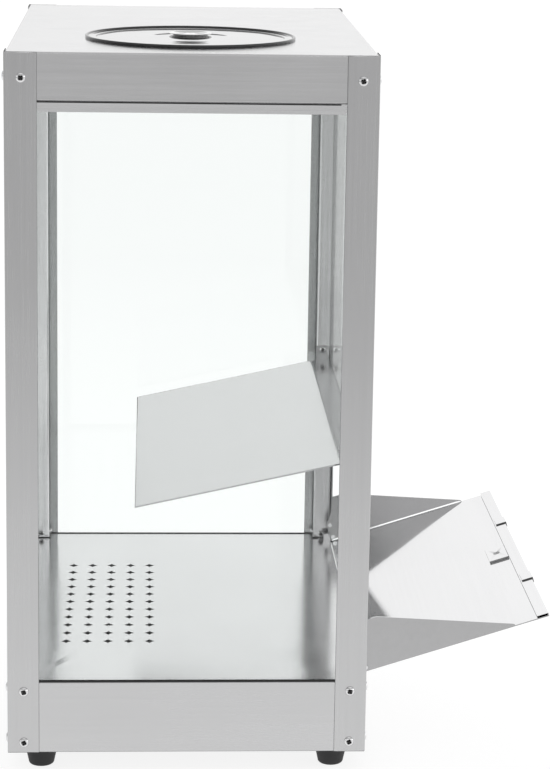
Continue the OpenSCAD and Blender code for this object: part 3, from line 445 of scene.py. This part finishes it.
def smoothByAngle(mesh, degrees):
    mesh.polygons.foreach_set("use_smooth", [True] * len(mesh.polygons))
    mesh.set_sharp_from_angle(angle=math.radians(degrees))
    mesh.update()


def meshFrom(bm, name, degrees=None):
    mesh = bpy.data.meshes.new(name)
    bm.to_mesh(mesh)
    bm.free()
    if degrees:
        smoothByAngle(mesh, degrees)
    return mesh


def mergedCopy(node, joinFlat=True):
    # A CAD node's mesh is loose triangles, so a copy of it is merged before it is worked on.
    bm = bmesh.new()
    bm.from_mesh(nodes[node].data)
    bmesh.ops.remove_doubles(bm, verts=bm.verts, dist=mergeWithin)
    if joinFlat:
        bmesh.ops.dissolve_limit(bm, angle_limit=math.radians(1), verts=bm.verts, edges=bm.edges)
    return bm


def throughModifiers(name, mesh, addModifiers):
    # Applies modifiers to a mesh on a throwaway object and returns the plain result.
    maker = bpy.data.objects.new(name + "Maker", mesh)
    scene.collection.objects.link(maker)
    addModifiers(maker)
    graph = bpy.context.evaluated_depsgraph_get()
    graph.update()
    result = bpy.data.meshes.new_from_object(maker.evaluated_get(graph), preserve_all_data_layers=True,
                                             depsgraph=graph)
    result.name = name
    maker.modifiers.clear()
    bpy.data.objects.remove(maker, do_unlink=True)
    return result


def bridge(bm, here, there):
    # Quads between two rings with as many points.
    for k in range(len(here)):
        m = (k + 1) % len(here)
        bm.faces.new((here[k], there[k], there[m], here[m]))


turnedSmooth = 40    # degrees


def latheMesh(name, profile, centre, turns):
    # Closed ring of (radius, height) points in millimetres, turned round an upright axis.
    bm = bmesh.new()
    rows = []
    for i in range(turns):
        a = 2 * math.pi * i / turns
        x, y = mm * math.cos(a), mm * math.sin(a)
        rows.append([bm.verts.new((centre[0] + r * x, centre[1] + r * y, z * mm)) for r, z in profile])
    for here, there in zip(rows, rows[1:] + rows[:1]):
        bridge(bm, here, there)
    bmesh.ops.remove_doubles(bm, verts=bm.verts, dist=poleWithin)
    bmesh.ops.dissolve_degenerate(bm, dist=speck, edges=bm.edges)
    bmesh.ops.recalc_face_normals(bm, faces=bm.faces)
    return meshFrom(bm, name, turnedSmooth)


foldedSheets = {
    # CAD node: finish, record slot, body, and in millimetres the radius of its outer edges,
    # the thickness reckoned with and, where it is set, the radius of its inner edges
    "post_front_left": ("postSteel", "post_steel", "base", 1.0, 1.2),
    "post_front_right": ("postSteel", "post_steel", "base", 1.0, 1.2),
    "post_rear_left": ("postSteel", "post_steel", "base", 1.0, 1.2),
    "post_rear_right": ("postSteel", "post_steel", "base", 1.0, 1.2),
    "column_front_left": ("frontColumnSteel", "post_steel", "base", 1.8, 1.0),
    "column_front_right": ("frontColumnSteel", "post_steel", "base", 1.8, 1.0),
    "column_rear_left": ("columnSteel", "post_steel", "base", 1.8, 1.0),
    "column_rear_right": ("columnSteel", "post_steel", "base", 1.8, 1.0),
    "top_cover": ("coverSteel", "panel_steel", "base", 1.5, 1.0),
    "base_panel_left": ("panelSteel", "panel_steel", "base", 0.8, 1.0),
    "base_panel_right": ("panelSteel", "panel_steel", "base", 0.8, 1.0),
    "base_panel_front": ("panelSteel", "panel_steel", "base", 0.8, 1.0),
    "base_panel_rear": ("panelSteel", "panel_steel", "base", 0.8, 1.0),
    "floor_plate": ("floorSteel", "bin_steel", "base", 0.8, 1.0),
    "deflector": ("deflectorSteel", "bin_steel", "base", 1.2, 1.0),
    "door": ("doorSteel", "door_steel", "door", 0, 1.0, 0),
    "door_pull": ("doorSteel", "door_steel", "door", 0.5, 1.0, 0.3),
    "strike_plate": ("doorSteel", "fastener_steel", "door", 0.2, 1.0, 0.2),
}
bending = {
    "shortest": 12,        # millimetres, the shortest edge that gets a radius
    "sharp": 50,           # degrees, the least turn at such an edge
    "tightest": 0.2,       # millimetres, the least inner radius where none is set
    "narrow": 0.62,        # a face is a sliver if it is narrower than this share of the thickness
    "fine": 0.13,          # millimetres, the radius at the edges of slivers
    "steps": 4,            # round an outer or inner radius
    "smooth": 48,          # degrees
}
outerEdge, innerEdge, sliverEdge, doneEdge = 1, 2, 4, 9
foldLines = {}


def markEdges(bm, thick, b):
    marks = bm.edges.layers.int.new("bendKind")
    slivers = {f for f in bm.faces
               if 2 * f.calc_area() / max(f.calc_perimeter(), 1e-9) < thick * b["narrow"] * mm}
    for e in bm.edges:
        isLong = len(e.link_faces) == 2 and e.calc_length() > b["shortest"] * mm
        if isLong and e.calc_face_angle(0) > math.radians(b["sharp"]):
            isFine = any(f in slivers for f in e.link_faces)
            e[marks] = sliverEdge if isFine else outerEdge if e.calc_face_angle_signed(0) > 0 else innerEdge
    return marks


def addWeightedNormals(maker):
    weigh = maker.modifiers.new("weigh", "WEIGHTED_NORMAL")
    weigh.mode = "FACE_AREA"
    weigh.weight = 100
    weigh.keep_sharp = True


def bentCopy(node, outer, thick, inner=None):
    # Copy of a CAD node of thin sheet whose long sharp edges get a radius. Its inner folds are noted.
    b = bending
    bm = mergedCopy(node)
    bmesh.ops.connect_verts_concave(bm, faces=bm.faces)
    bm.normal_update()
    marks = markEdges(bm, thick, b)
    foldLines[node] = [[v.co.copy() for v in e.verts] for e in bm.edges if e[marks] == innerEdge]
    if inner is None:
        inner = max(outer - thick, b["tightest"])
    for kind, radius, count in ((outerEdge, outer, b["steps"]), (innerEdge, inner, b["steps"]),
                                (sliverEdge, b["fine"], 1)):
        chosen = [e for e in bm.edges if e[marks] == kind]
        if chosen and radius:
            bmesh.ops.bevel(bm, geom=chosen, offset=radius * mm, segments=count, profile=0.5, affect="EDGES",
                            clamp_overlap=kind == sliverEdge)
            for e in bm.edges:
                if e[marks] == kind:
                    e[marks] = doneEdge
    bmesh.ops.dissolve_degenerate(bm, dist=speck, edges=bm.edges)
    bmesh.ops.connect_verts_concave(bm, faces=bm.faces)
    bmesh.ops.recalc_face_normals(bm, faces=bm.faces)
    mesh = meshFrom(bm, node + "Bent", b["smooth"])
    return throughModifiers(node + "_sheet", mesh, addWeightedNormals)


furtherFinishes = {
    # CAD node: finish, axis that its faces look along, least share of it in their normal, whether both ways
    # the door's side wings get a painted shade
    "door": [("wingShadeSteel", 0, 0.95, True)],
    # the pull's faces that look rearward get a painted highlight, and its cut ends a painted shade
    "door_pull": [("foldHighlightSteel", 1, 0.6, False), ("recessShadeSteel", 0, 0.9, True)],
    # the strike plate's sides get a painted shade
    "strike_plate": [("darkShadeSteel", 0, 0.9, True)],
}
upright = 0.3                                   # a face stands upright if the z of its normal is under this
downward = -0.5                                 # and looks down if it is under this
airHoles = {"wall": 2e-5, "reach": 0.21}        # largest face of a wall in square metres, field in metres

# Soft rubber strips between the panes and the sheet metal. The one on the right base panel is low and slim.
sealShape = {
    "lowNear": 2.0, "lowFar": 0.5,              # heights of the low strips, in millimetres
    "lowUnder": 300,                            # strips whose foot is lower than this are the low ones
    "farDrop": 1.1, "farEdge": 86.5,            # drop of the right panel's upper edge, all above this height
    "rounding": 0.25, "flattest": 0.4,          # radius, and the share of the height that it may take
    "smooth": 40,                               # degrees
}

# Slim fillet along the inner fold of each wing of the door, with a near-white finish that paints the highlight
# of the bend, in millimetres.
seamShape = {
    "up": 1.5, "out": 0.45,                     # height on the wing, width on the panel
    "bulge": (0.45, 0.55),                      # share of the width and of the height at its round face
    "sink": 0.02,                               # depth of its back in the sheet
    "start": 0.004, "run": 0.99,                # start on the fold, and the share of the fold that it follows
    "taper": 0.04, "blunt": 0.25,               # slower taper the larger it is, and the size at the tip
    "stations": (0.0, 0.01, 0.04, 0.2, 0.4, 0.6, 0.8, 0.96, 0.99, 1.0),    # places of its sections
    "shortest": 50,                             # the shortest fold that gets a seam
    "smooth": 30,                               # degrees
}


def isShadedHollow(face):
    # The punched walls of the air holes and the underside of the bin floor, which get a painted shade.
    isInField = max(abs(face.center.x), abs(face.center.y)) < airHoles["reach"]
    isWall = isInField and face.area < airHoles["wall"] and abs(face.normal.z) < upright
    return isWall or face.normal.z < downward


def seamRow(bm, s, fold, inward, up, t):
    base = fold[0].lerp(fold[1], s["start"] + s["run"] * t) - (up + inward) * s["sink"] * mm
    grow = min(1, math.sqrt(min(t, 1 - t) / s["taper"]) + s["blunt"]) * mm
    out, rise = inward * s["out"] * grow, up * s["up"] * grow
    wide, high = s["bulge"]
    return [bm.verts.new(p) for p in (base, base + out, base + out * wide + rise * high, base + rise)]


def makeSeams(s):
    folds = [sorted(line, key=lambda p: p.y) for line in foldLines["door"]
             if abs(line[0].x - line[1].x) < mm and abs(line[0].y - line[1].y) > s["shortest"] * mm]
    for i, fold in enumerate(folds):
        inward = Vector((-1 if fold[0].x > 0 else 1, 0, 0))
        up = inward.cross((fold[1] - fold[0]).normalized())
        up *= 1 if up.z > 0 else -1
        bm = bmesh.new()
        rows = [seamRow(bm, s, fold, inward, up, t) for t in s["stations"]]
        for here, there in zip(rows, rows[1:]):
            bridge(bm, here, there)
        bm.faces.new(rows[0])
        bm.faces.new(rows[-1])
        bmesh.ops.recalc_face_normals(bm, faces=bm.faces)
        name = "door_seam_" + str(i + 1)
        newPiece(name, meshFrom(bm, name, s["smooth"]), "foldHighlightSteel", "door")


def makeFoldedSheets():
    for node, (finish, slot, body, *bend) in foldedSheets.items():
        piece = newPiece(node + "_sheet", bentCopy(node, *bend), finish, body, [node])
        for further, axis, least, bothWays in furtherFinishes.get(node, []):
            addFinish(piece.data, further,
                      lambda face: (abs(face.normal[axis]) if bothWays else face.normal[axis]) > least)
        # painted shade in the air holes and under the bin floor
        if node == "floor_plate":
            addFinish(piece.data, "recessShadeSteel", isShadedHollow)
        if node == "base_panel_right":
            for v in piece.data.vertices:
                v.co.z -= sealShape["farDrop"] * mm if v.co.z > sealShape["farEdge"] * mm else 0
    makeSeams(seamShape)


makeFoldedSheets()
print("stage: folded sheets,", len(foldedSheets))

paneShape = {"bevel": 0.35, "edge": 0.02, "above": 100}    # mm, largest edge face in square metres, mm


def makePanes(s):
    for side in ("left", "right", "front", "rear"):
        node = "glass_" + side
        bm = mergedCopy(node)
        bmesh.ops.bevel(bm, geom=bm.edges[:], offset=s["bevel"] * mm, segments=1, profile=0.5, affect="EDGES")
        bmesh.ops.recalc_face_normals(bm, faces=bm.faces)
        mesh = meshFrom(bm, node + "_pane")
        piece = newPiece(node + "_pane", mesh, "paneGlass", "base", [node])
        addFinish(piece.data, "glassEdge", lambda face: face.area < s["edge"]
                  and abs(face.normal.z) < upright and face.center.z > s["above"] * mm)


# Outline of the spun lid: crown, plate, flange, rolled rim, and the spigot that centres it on the fill hole.
# In millimetres. A list holds radii, or distances from a radius, and heights over what its note names.
lidShape = {
    "topFace": 665.0,                                   # height of the roof that it lies on
    "hub": 4.0, "hubUnder": 665.8,
    "crown": 2.4, "crownFrom": 15.6, "crownTo": 43.0,   # shallow rise under the knob
    "crownTurns": (0.2, 0.4, 0.6, 0.8, 1.0), "crownPower": 1.2,
    "plate": 665.6, "flange": 666.15, "underside": 664.8,
    "dish": [(60, 0), (80, 0.02), (86.4, 0.02), (86.9, -0.1)],                          # over the plate
    "flangeTop": [(87.3, -0.05), (87.8, 0), (90.5, -0.02), (92.6, 0), (93.6, 0.1)],     # over the flange
    "radius": 97.5, "bead": 1.4,                        # rolled rim
    "roll": (168, -72, 11),                             # first and last angle of its outer side, and points
    "rollEnd": [(0.4, 0.75), (0.7, 1.3), (0.4, 1.9), (-0.4, 2.0)],    # from its middle, over the roof
    "flangeUnder": [(91.5, 0.55), (88.5, 0.2), (85.6, 0.05)],         # over the roof
    "spigot": 85.6, "skin": 0.8,
    "hubUnderside": [(24, 0.6), (14, 0.8), (12, 0)],    # over the underside of the hub
    "rimFrom": 94.1, "rimOver": 0.3,                    # radius and height from which the rim gets painted dark shade and reflection
    "stepWall": (87.1, 0.15),                           # middle and half width of the step that gets a painted shade line
    "turns": 128,
}


def makeLid(s):
    low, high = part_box("lid")
    foot, top, plate, inside = low.z / mm, s["topFace"], s["plate"], s["spigot"] - s["skin"]
    first, last, crown = s["crownFrom"], s["crownTo"], s["crown"]
    profile = [(s["hub"], s["hubUnder"]), (s["hub"], plate + crown), (first, plate + crown)]
    for t in s["crownTurns"]:
        profile.append((first + (last - first) * t, plate + crown * (1 - t) ** s["crownPower"]))
    profile += [(r, plate + z) for r, z in s["dish"]]
    profile += [(r, s["flange"] + z) for r, z in s["flangeTop"]]
    b, mid = s["bead"], s["radius"] - s["bead"]
    start, end, count = s["roll"]
    for k in range(count):
        a = math.radians(start + (end - start) * k / (count - 1))
        profile.append((mid + b * math.cos(a), top + b + b * math.sin(a)))
    profile += [(mid + r, top + z) for r, z in s["rollEnd"]]
    profile += [(r, top + z) for r, z in s["flangeUnder"]]
    profile += [(s["spigot"], foot), (inside, foot), (inside, s["underside"]), (last, s["underside"])]
    profile += [(r, s["hubUnder"] + z) for r, z in s["hubUnderside"]]
    mesh = latheMesh("lid_spun", profile, lidCentre, s["turns"])
    piece = newPiece("lid_spun", mesh, "spunSteel", "lid", ["lid"])

    def fromAxis(face):
        return (face.center.xy - lidCentre.xy).length / mm

    # painted shade and dark reflection on the rolled rim
    addFinish(piece.data, "rimShadeSteel",
              lambda face: fromAxis(face) > s["rimFrom"] and face.center.z > (top + s["rimOver"]) * mm)
    # a painted shade line along the step of the lid
    middle, half = s["stepWall"]
    addFinish(piece.data, "darkShadeSteel",
              lambda face: abs(fromAxis(face) - middle) < half and face.center.z > plate * mm)


knobShape = {
    "seat": 668.0, "height": 2.1, "radius": 20.0, "foot": 16.2,
    "bore": 2.0, "boreDepth": 1.45,
    "flare": [(-0.3, 0), (0, 0.12), (0.15, 0.4), (0.8, 0.85)],        # from the foot's radius and the seat
    "edge": [(-1.6, -0.95), (-0.5, -0.72), (0, -0.4), (-0.1, -0.2), (-0.4, -0.05), (-0.9, 0),
             (-1.6, -0.06), (-2.4, -0.5), (-4, -1.05), (-6.5, -1.2)],  # from the radius and the top
    "button": [(7, -1.1), (4, -0.55), (3, -0.4), (0, -0.4)],          # radius, and height from the top
    "turns": 72,
}


def makeKnob(s):
    z, r, f, bore = s["seat"], s["radius"], s["foot"], s["bore"]
    top = z + s["height"]
    profile = [(bore, z)] + [(f + x, z + y) for x, y in s["flare"]]
    profile += [(r + x, top + y) for x, y in s["edge"]]
    profile += [(x, top + y) for x, y in s["button"]]
    profile += [(0, z + s["boreDepth"]), (bore, z + s["boreDepth"])]
    mesh = latheMesh("lid_knob_spun", profile, boxCentre("lid_knob"), s["turns"])
    newPiece("lid_knob_spun", mesh, "knobLitSteel", "lid", ["lid_knob"])


footShape = {
    "base": 12.0, "top": 15.5, "height": 20.0, "bore": 2.7, "recess": 6.0, "seat": 8.0,
    "round": (3, 3.2),                                       # rounding of the base, across and up
    "roundTurns": (15, 30, 45, 60, 75, 90),                  # degrees
    "waist": (0.5, 0.56),                                    # share of the widening, share of the height
    "brim": [(-0.35, -2.2), (0, -1.4), (0, -0.4), (-0.4, 0)],    # from the upper radius and the height
    "turns": 48,
}


def makeFeet(s):
    b, t, h = s["base"], s["top"], s["height"]
    wide, high = s["round"]
    profile = [(s["recess"], 0), (b - wide, 0)]
    for degrees in s["roundTurns"]:
        a = math.radians(degrees)
        profile.append((b - wide + wide * math.sin(a), high - high * math.cos(a)))
    out, up = s["waist"]
    profile += [(b + (t - b) * out, h * up)] + [(t + x, h + y) for x, y in s["brim"]]
    profile += [(s["bore"], h), (s["bore"], s["seat"]), (s["recess"], s["seat"])]
    for corner in ("front_left", "front_right", "rear_left", "rear_right"):
        node = "foot_" + corner
        mesh = latheMesh(node + "_moulded", profile, boxCentre(node), s["turns"])
        newPiece(node + "_moulded", mesh, "footRubber", "base", [node])


makePanes(paneShape)
makeLid(lidShape)
makeKnob(knobShape)
makeFeet(footShape)
print("stage: panes, lid, knob and feet")


def looseParts(node):
    # The points of each solid of a CAD node.
    bm = mergedCopy(node, joinFlat=False)
    met, parts = set(), []
    for first in bm.verts:
        if first in met:
            continue
        met.add(first)
        heap, part = [first], []
        while heap:
            v = heap.pop()
            part.append(v.co.copy())
            for e in v.link_edges:
                w = e.other_vert(v)
                if w not in met:
                    met.add(w)
                    heap.append(w)
        parts.append(part)
    bm.free()
    return parts


def boxOf(points):
    low = Vector([min(p[k] for p in points) for k in range(3)])
    high = Vector([max(p[k] for p in points) for k in range(3)])
    return low, high


def makeSeals(s):
    for i, part in enumerate(looseParts("glass_seals")):
        low, high = boxOf(part)
        isRight = low.x > 0 and low.y < 0 < high.y
        if low.z < s["lowUnder"] * mm:
            low.z -= s["farDrop"] * mm if isRight else 0
            high.z = low.z + (s["lowFar"] if isRight else s["lowNear"]) * mm
        bm = bmesh.new()
        bmesh.ops.create_cube(bm, size=1)
        for v in bm.verts:
            v.co = Vector([low[k] if v.co[k] < 0 else high[k] for k in range(3)])
        radius = min(s["rounding"] * mm, (high.z - low.z) * s["flattest"])
        bmesh.ops.bevel(bm, geom=bm.edges[:], offset=radius, segments=3, profile=0.5, affect="EDGES")
        name = "glass_seal_" + str(i + 1)
        mesh = meshFrom(bm, name, s["smooth"])
        newPiece(name, mesh, "sealRubber", "base", ["glass_seals"])


# Pan head and shank of a machine screw on a unit scale, as rings of (radius, height).
headShape = {
    "rings": [(0.5, 0.0), (0.5, 0.2), (0.468, 0.5), (0.39, 0.78), (0.28, 0.95)],
    "arm": (0.25, 0.5, 0.97), "core": (0.11, 0.36, 0.62),    # radius, height in an arm of the cross, beside it
    "floor": 0.3, "steps": 16, "smooth": 38,
}
shankShape = {"rings": [(0.5, 0.0), (0.5, -0.93), (0.4, -1.0)], "steps": 10, "smooth": 50}


def screwHead(s):
    bm = bmesh.new()
    count = s["steps"]
    arm = count // 4    # steps from one arm of the cross to the next
    turn = [2 * math.pi * k / count for k in range(count)]
    rings = [[bm.verts.new((r * math.cos(a), r * math.sin(a), z)) for a in turn] for r, z in s["rings"]]
    for r, deep, level in (s["arm"], s["core"]):
        rings.append([bm.verts.new((r * math.cos(a), r * math.sin(a), deep if k % arm == 0 else level))
                      for k, a in enumerate(turn)])
    recessed = bm.faces.layers.bool.new("recess")
    for i in range(len(rings) - 1):
        for k in range(count):
            m = (k + 1) % count
            face = bm.faces.new((rings[i][k], rings[i][m], rings[i + 1][m], rings[i + 1][k]))
            face[recessed] = i == len(rings) - 2 or (i == len(rings) - 3 and 0 in (k % arm, m % arm))
    for ring, z, hidden in ((rings[0], 0.0, False), (rings[-1], s["floor"], True)):
        pole = bm.verts.new((0, 0, z))
        for k in range(count):
            face = bm.faces.new((ring[k], ring[(k + 1) % count], pole))
            face[recessed] = hidden
    bmesh.ops.recalc_face_normals(bm, faces=bm.faces)
    return bpy.data.objects.new("screwHead", meshFrom(bm, "screwHead", s["smooth"]))


def screwShank(s):
    bm = bmesh.new()
    turn = [2 * math.pi * k / s["steps"] for k in range(s["steps"])]
    rings = [[bm.verts.new((r * math.cos(a), r * math.sin(a), z)) for a in turn] for r, z in s["rings"]]
    for here, there in zip(rings, rings[1:]):
        bridge(bm, here, there)
    bm.faces.new(rings[0])
    bm.faces.new(rings[-1])
    bmesh.ops.recalc_face_normals(bm, faces=bm.faces)
    return bpy.data.objects.new("screwShank", meshFrom(bm, "screwShank", s["smooth"]))


def fastenerTree():
    tree = bpy.data.node_groups.new("fastenerField", "GeometryNodeTree")
    tree.is_modifier = True
    n, link = tree.nodes, tree.links
    tree.interface.new_socket("Geometry", in_out="INPUT", socket_type="NodeSocketGeometry")
    for name, kind in (("Head", "Object"), ("Shank", "Object"), ("Head Diameter", "Float"),
                       ("Head Height", "Float"), ("Shank Diameter", "Float"), ("Shank Length", "Float"),
                       ("Seed", "Int"), ("Finish", "Material"), ("Recess Shade Finish", "Material")):
        tree.interface.new_socket(name, in_out="INPUT", socket_type="NodeSocket" + kind)
    tree.interface.new_socket("Geometry", in_out="OUTPUT", socket_type="NodeSocketGeometry")
    given = n.new("NodeGroupInput").outputs
    facing = n.new("GeometryNodeInputNamedAttribute")
    facing.data_type = "FLOAT_VECTOR"
    facing.inputs["Name"].default_value = "facing"
    aim = n.new("FunctionNodeAlignRotationToVector")
    aim.axis = "Z"
    link.new(facing.outputs["Attribute"], aim.inputs["Vector"])
    chance = n.new("FunctionNodeRandomValue")
    chance.data_type = "FLOAT"
    chance.inputs[3].default_value = math.pi
    link.new(given["Seed"], chance.inputs["Seed"])
    spin = n.new("FunctionNodeAxisAngleToRotation")
    spin.inputs["Axis"].default_value = (0, 0, 1)
    link.new(chance.outputs[1], spin.inputs["Angle"])
    turned = n.new("FunctionNodeRotateRotation")
    turned.rotation_space = "LOCAL"
    link.new(aim.outputs[0], turned.inputs[0])
    link.new(spin.outputs[0], turned.inputs[1])
    join = n.new("GeometryNodeJoinGeometry")
    for piece, wide, long in (("Head", "Head Diameter", "Head Height"),
                              ("Shank", "Shank Diameter", "Shank Length")):
        source = n.new("GeometryNodeObjectInfo")
        link.new(given[piece], source.inputs["Object"])
        size = n.new("ShaderNodeCombineXYZ")
        link.new(given[wide], size.inputs[0])
        link.new(given[wide], size.inputs[1])
        link.new(given[long], size.inputs[2])
        put = n.new("GeometryNodeInstanceOnPoints")
        link.new(given["Geometry"], put.inputs["Points"])
        link.new(source.outputs["Geometry"], put.inputs["Instance"])
        link.new(turned.outputs[0], put.inputs["Rotation"])
        link.new(size.outputs[0], put.inputs["Scale"])
        link.new(put.outputs[0], join.inputs[0])
    real = n.new("GeometryNodeRealizeInstances")
    link.new(join.outputs[0], real.inputs[0])
    paint = n.new("GeometryNodeSetMaterial")
    link.new(real.outputs[0], paint.inputs["Geometry"])
    link.new(given["Finish"], paint.inputs["Material"])
    # the recess faces get the material that paints their shade
    inside = n.new("GeometryNodeInputNamedAttribute")
    inside.data_type = "BOOLEAN"
    inside.inputs["Name"].default_value = "recess"
    dark = n.new("GeometryNodeSetMaterial")
    link.new(paint.outputs[0], dark.inputs["Geometry"])
    link.new(inside.outputs["Attribute"], dark.inputs["Selection"])
    link.new(given["Recess Shade Finish"], dark.inputs["Material"])
    out = n.new("NodeGroupOutput")
    link.new(dark.outputs[0], out.inputs[0])
    return tree


screwReading = {"rim": 0.97, "shank": 0.6}    # share of the widest radius, share of the shank from its tip


def readScrew(points, axis):
    # Seat, outward direction, head radius, head height, shank radius and length of one CAD screw.
    axis = Vector(axis).normalized()
    along = [p.dot(axis) for p in points]
    low, high = min(along), max(along)
    near, far = boxOf(points)
    centre = (near + far) / 2
    centre -= axis * centre.dot(axis)
    off = [(p - centre - axis * a).length for p, a in zip(points, along)]
    widest = max(off)
    rim = [a for a, r in zip(along, off) if r > widest * screwReading["rim"]]
    outward = 1 if high - max(rim) < min(rim) - low else -1
    seat = min(rim) if outward > 0 else max(rim)
    tip, crown = (low, high) if outward > 0 else (high, low)
    reach = abs(seat - tip) * screwReading["shank"] + 1e-6
    shank = max(r for a, r in zip(along, off) if abs(a - tip) < reach)
    return centre + axis * seat, axis * outward, widest, abs(crown - seat), shank, abs(seat - tip)


doorAngle = math.radians(17.6)    # of the open door above the level
doorUp = (0, math.sin(doorAngle), math.cos(doorAngle))
screwGroups = {
    # CAD node: possible axes, body, seed of the turn of the recesses, finish, and the material that paints the
    # shade inside the recess
    "screws_left": ([(1, 0, 0)], "base", 3, "zincSteel", "recessShadeSteel"),
    "screws_right": ([(1, 0, 0)], "base", 5, "zincSteel", "recessShadeSteel"),
    "screws_front": ([(0, 1, 0)], "base", 7, "zincSteel", "recessShadeSteel"),
    "screws_rear": ([(0, 1, 0)], "base", 11, "zincSteel", "recessShadeSteel"),
    "column_screws": ([(1, 0, 0), (0, 1, 0)], "base", 13, "zincSteel", "darkShadeSteel"),
    "deflector_screws": ([(1, 0, 0)], "base", 17, "zincSteel", "darkShadeSteel"),
    "strike_screw": ([doorUp], "door", 18, "darkShadeSteel", "recessShadeSteel"),
    "fan_screws": ([(0, 0, 1)], "base", 19, "zincSteel", "recessShadeSteel"),
    "inlet_screws": ([(0, 1, 0)], "base", 23, "zincSteel", "recessShadeSteel"),
}


def readScrews(node, axes):
    # A screw lies along the possible axis on which it is longest.
    rows = []
    for part in looseParts(node):
        spans = [max(p.dot(Vector(a)) for p in part) - min(p.dot(Vector(a)) for p in part) for a in axes]
        rows.append(readScrew(part, axes[spans.index(max(spans))]))
    return rows


def makeScrews():
    tree = fastenerTree()
    ids = {item.name: item.identifier for item in tree.interface.items_tree
           if item.item_type == "SOCKET" and item.in_out == "INPUT"}
    head, shank = screwHead(headShape), screwShank(shankShape)
    for source in (head, shank):
        scene.collection.objects.link(source)
    for node, (axes, body, seed, finish, inside) in screwGroups.items():
        rows = readScrews(node, axes)
        points = bpy.data.meshes.new(node + "Points")
        points.from_pydata([r[0] for r in rows], [], [])
        facing = points.attributes.new("facing", "FLOAT_VECTOR", "POINT")
        for i, r in enumerate(rows):
            facing.data[i].vector = r[1]
        headRadius, headHeight, shankRadius, shankLength = rows[0][2:]
        values = {"Head": head, "Shank": shank, "Head Diameter": 2 * headRadius, "Head Height": headHeight,
                  "Shank Diameter": 2 * shankRadius, "Shank Length": shankLength, "Seed": seed,
                  "Finish": finishes[finish], "Recess Shade Finish": finishes[inside]}

        def addField(maker):
            field = maker.modifiers.new("field", "NODES")
            field.node_group = tree
            for name, value in values.items():
                field[ids[name]] = value

        mesh = throughModifiers(node + "_turned", points, addField)
        newPiece(node + "_turned", mesh, None, body, [node])
        sizes = [round(size / mm, 2) for size in (2 * headRadius, headHeight, 2 * shankRadius, shankLength)]
        print("  ", node, len(rows), "screws, head and shank", sizes, "mm,", len(mesh.polygons), "faces")
    for source in (head, shank):
        bpy.data.objects.remove(source, do_unlink=True)


makeScrews()
makeSeals(sealShape)
print("stage: seals, and screws in", len(screwGroups), "groups")

keptNodes = {
    "cavityShadeSteel": ["base_plate"],
    "channelSteel": ["glass_channel_left", "glass_channel_right", "glass_channel_front",
                     "glass_channel_rear"],
    "blackPlastic": ["magnetic_catch", "fan_frame", "fan_rotor", "thermostat", "switch_bezel", "power_inlet"],
    "rockerPlastic": ["switch_rocker"],
    "palePlastic": ["terminal_block"],
    "heaterSteel": ["heater_element"],
    "zincSteel": ["catch_screws", "door_stop_pins", "hinge_pins",
                  "lid_knob_screw", "foot_screws", "case_nuts", "heater_brackets"],
    "pinBrass": ["inlet_pins"],
}


def finishKeptNodes(kept):
    for finish, names in kept.items():
        for node in names:
            mesh = nodes[node].data
            for i in range(len(mesh.materials)):
                mesh.materials[i] = finishes[finish]
            if not mesh.materials:
                mesh.materials.append(finishes[finish])


finishKeptNodes(keptNodes)
print("stage: finishes on the CAD nodes")

print("stage: finished")
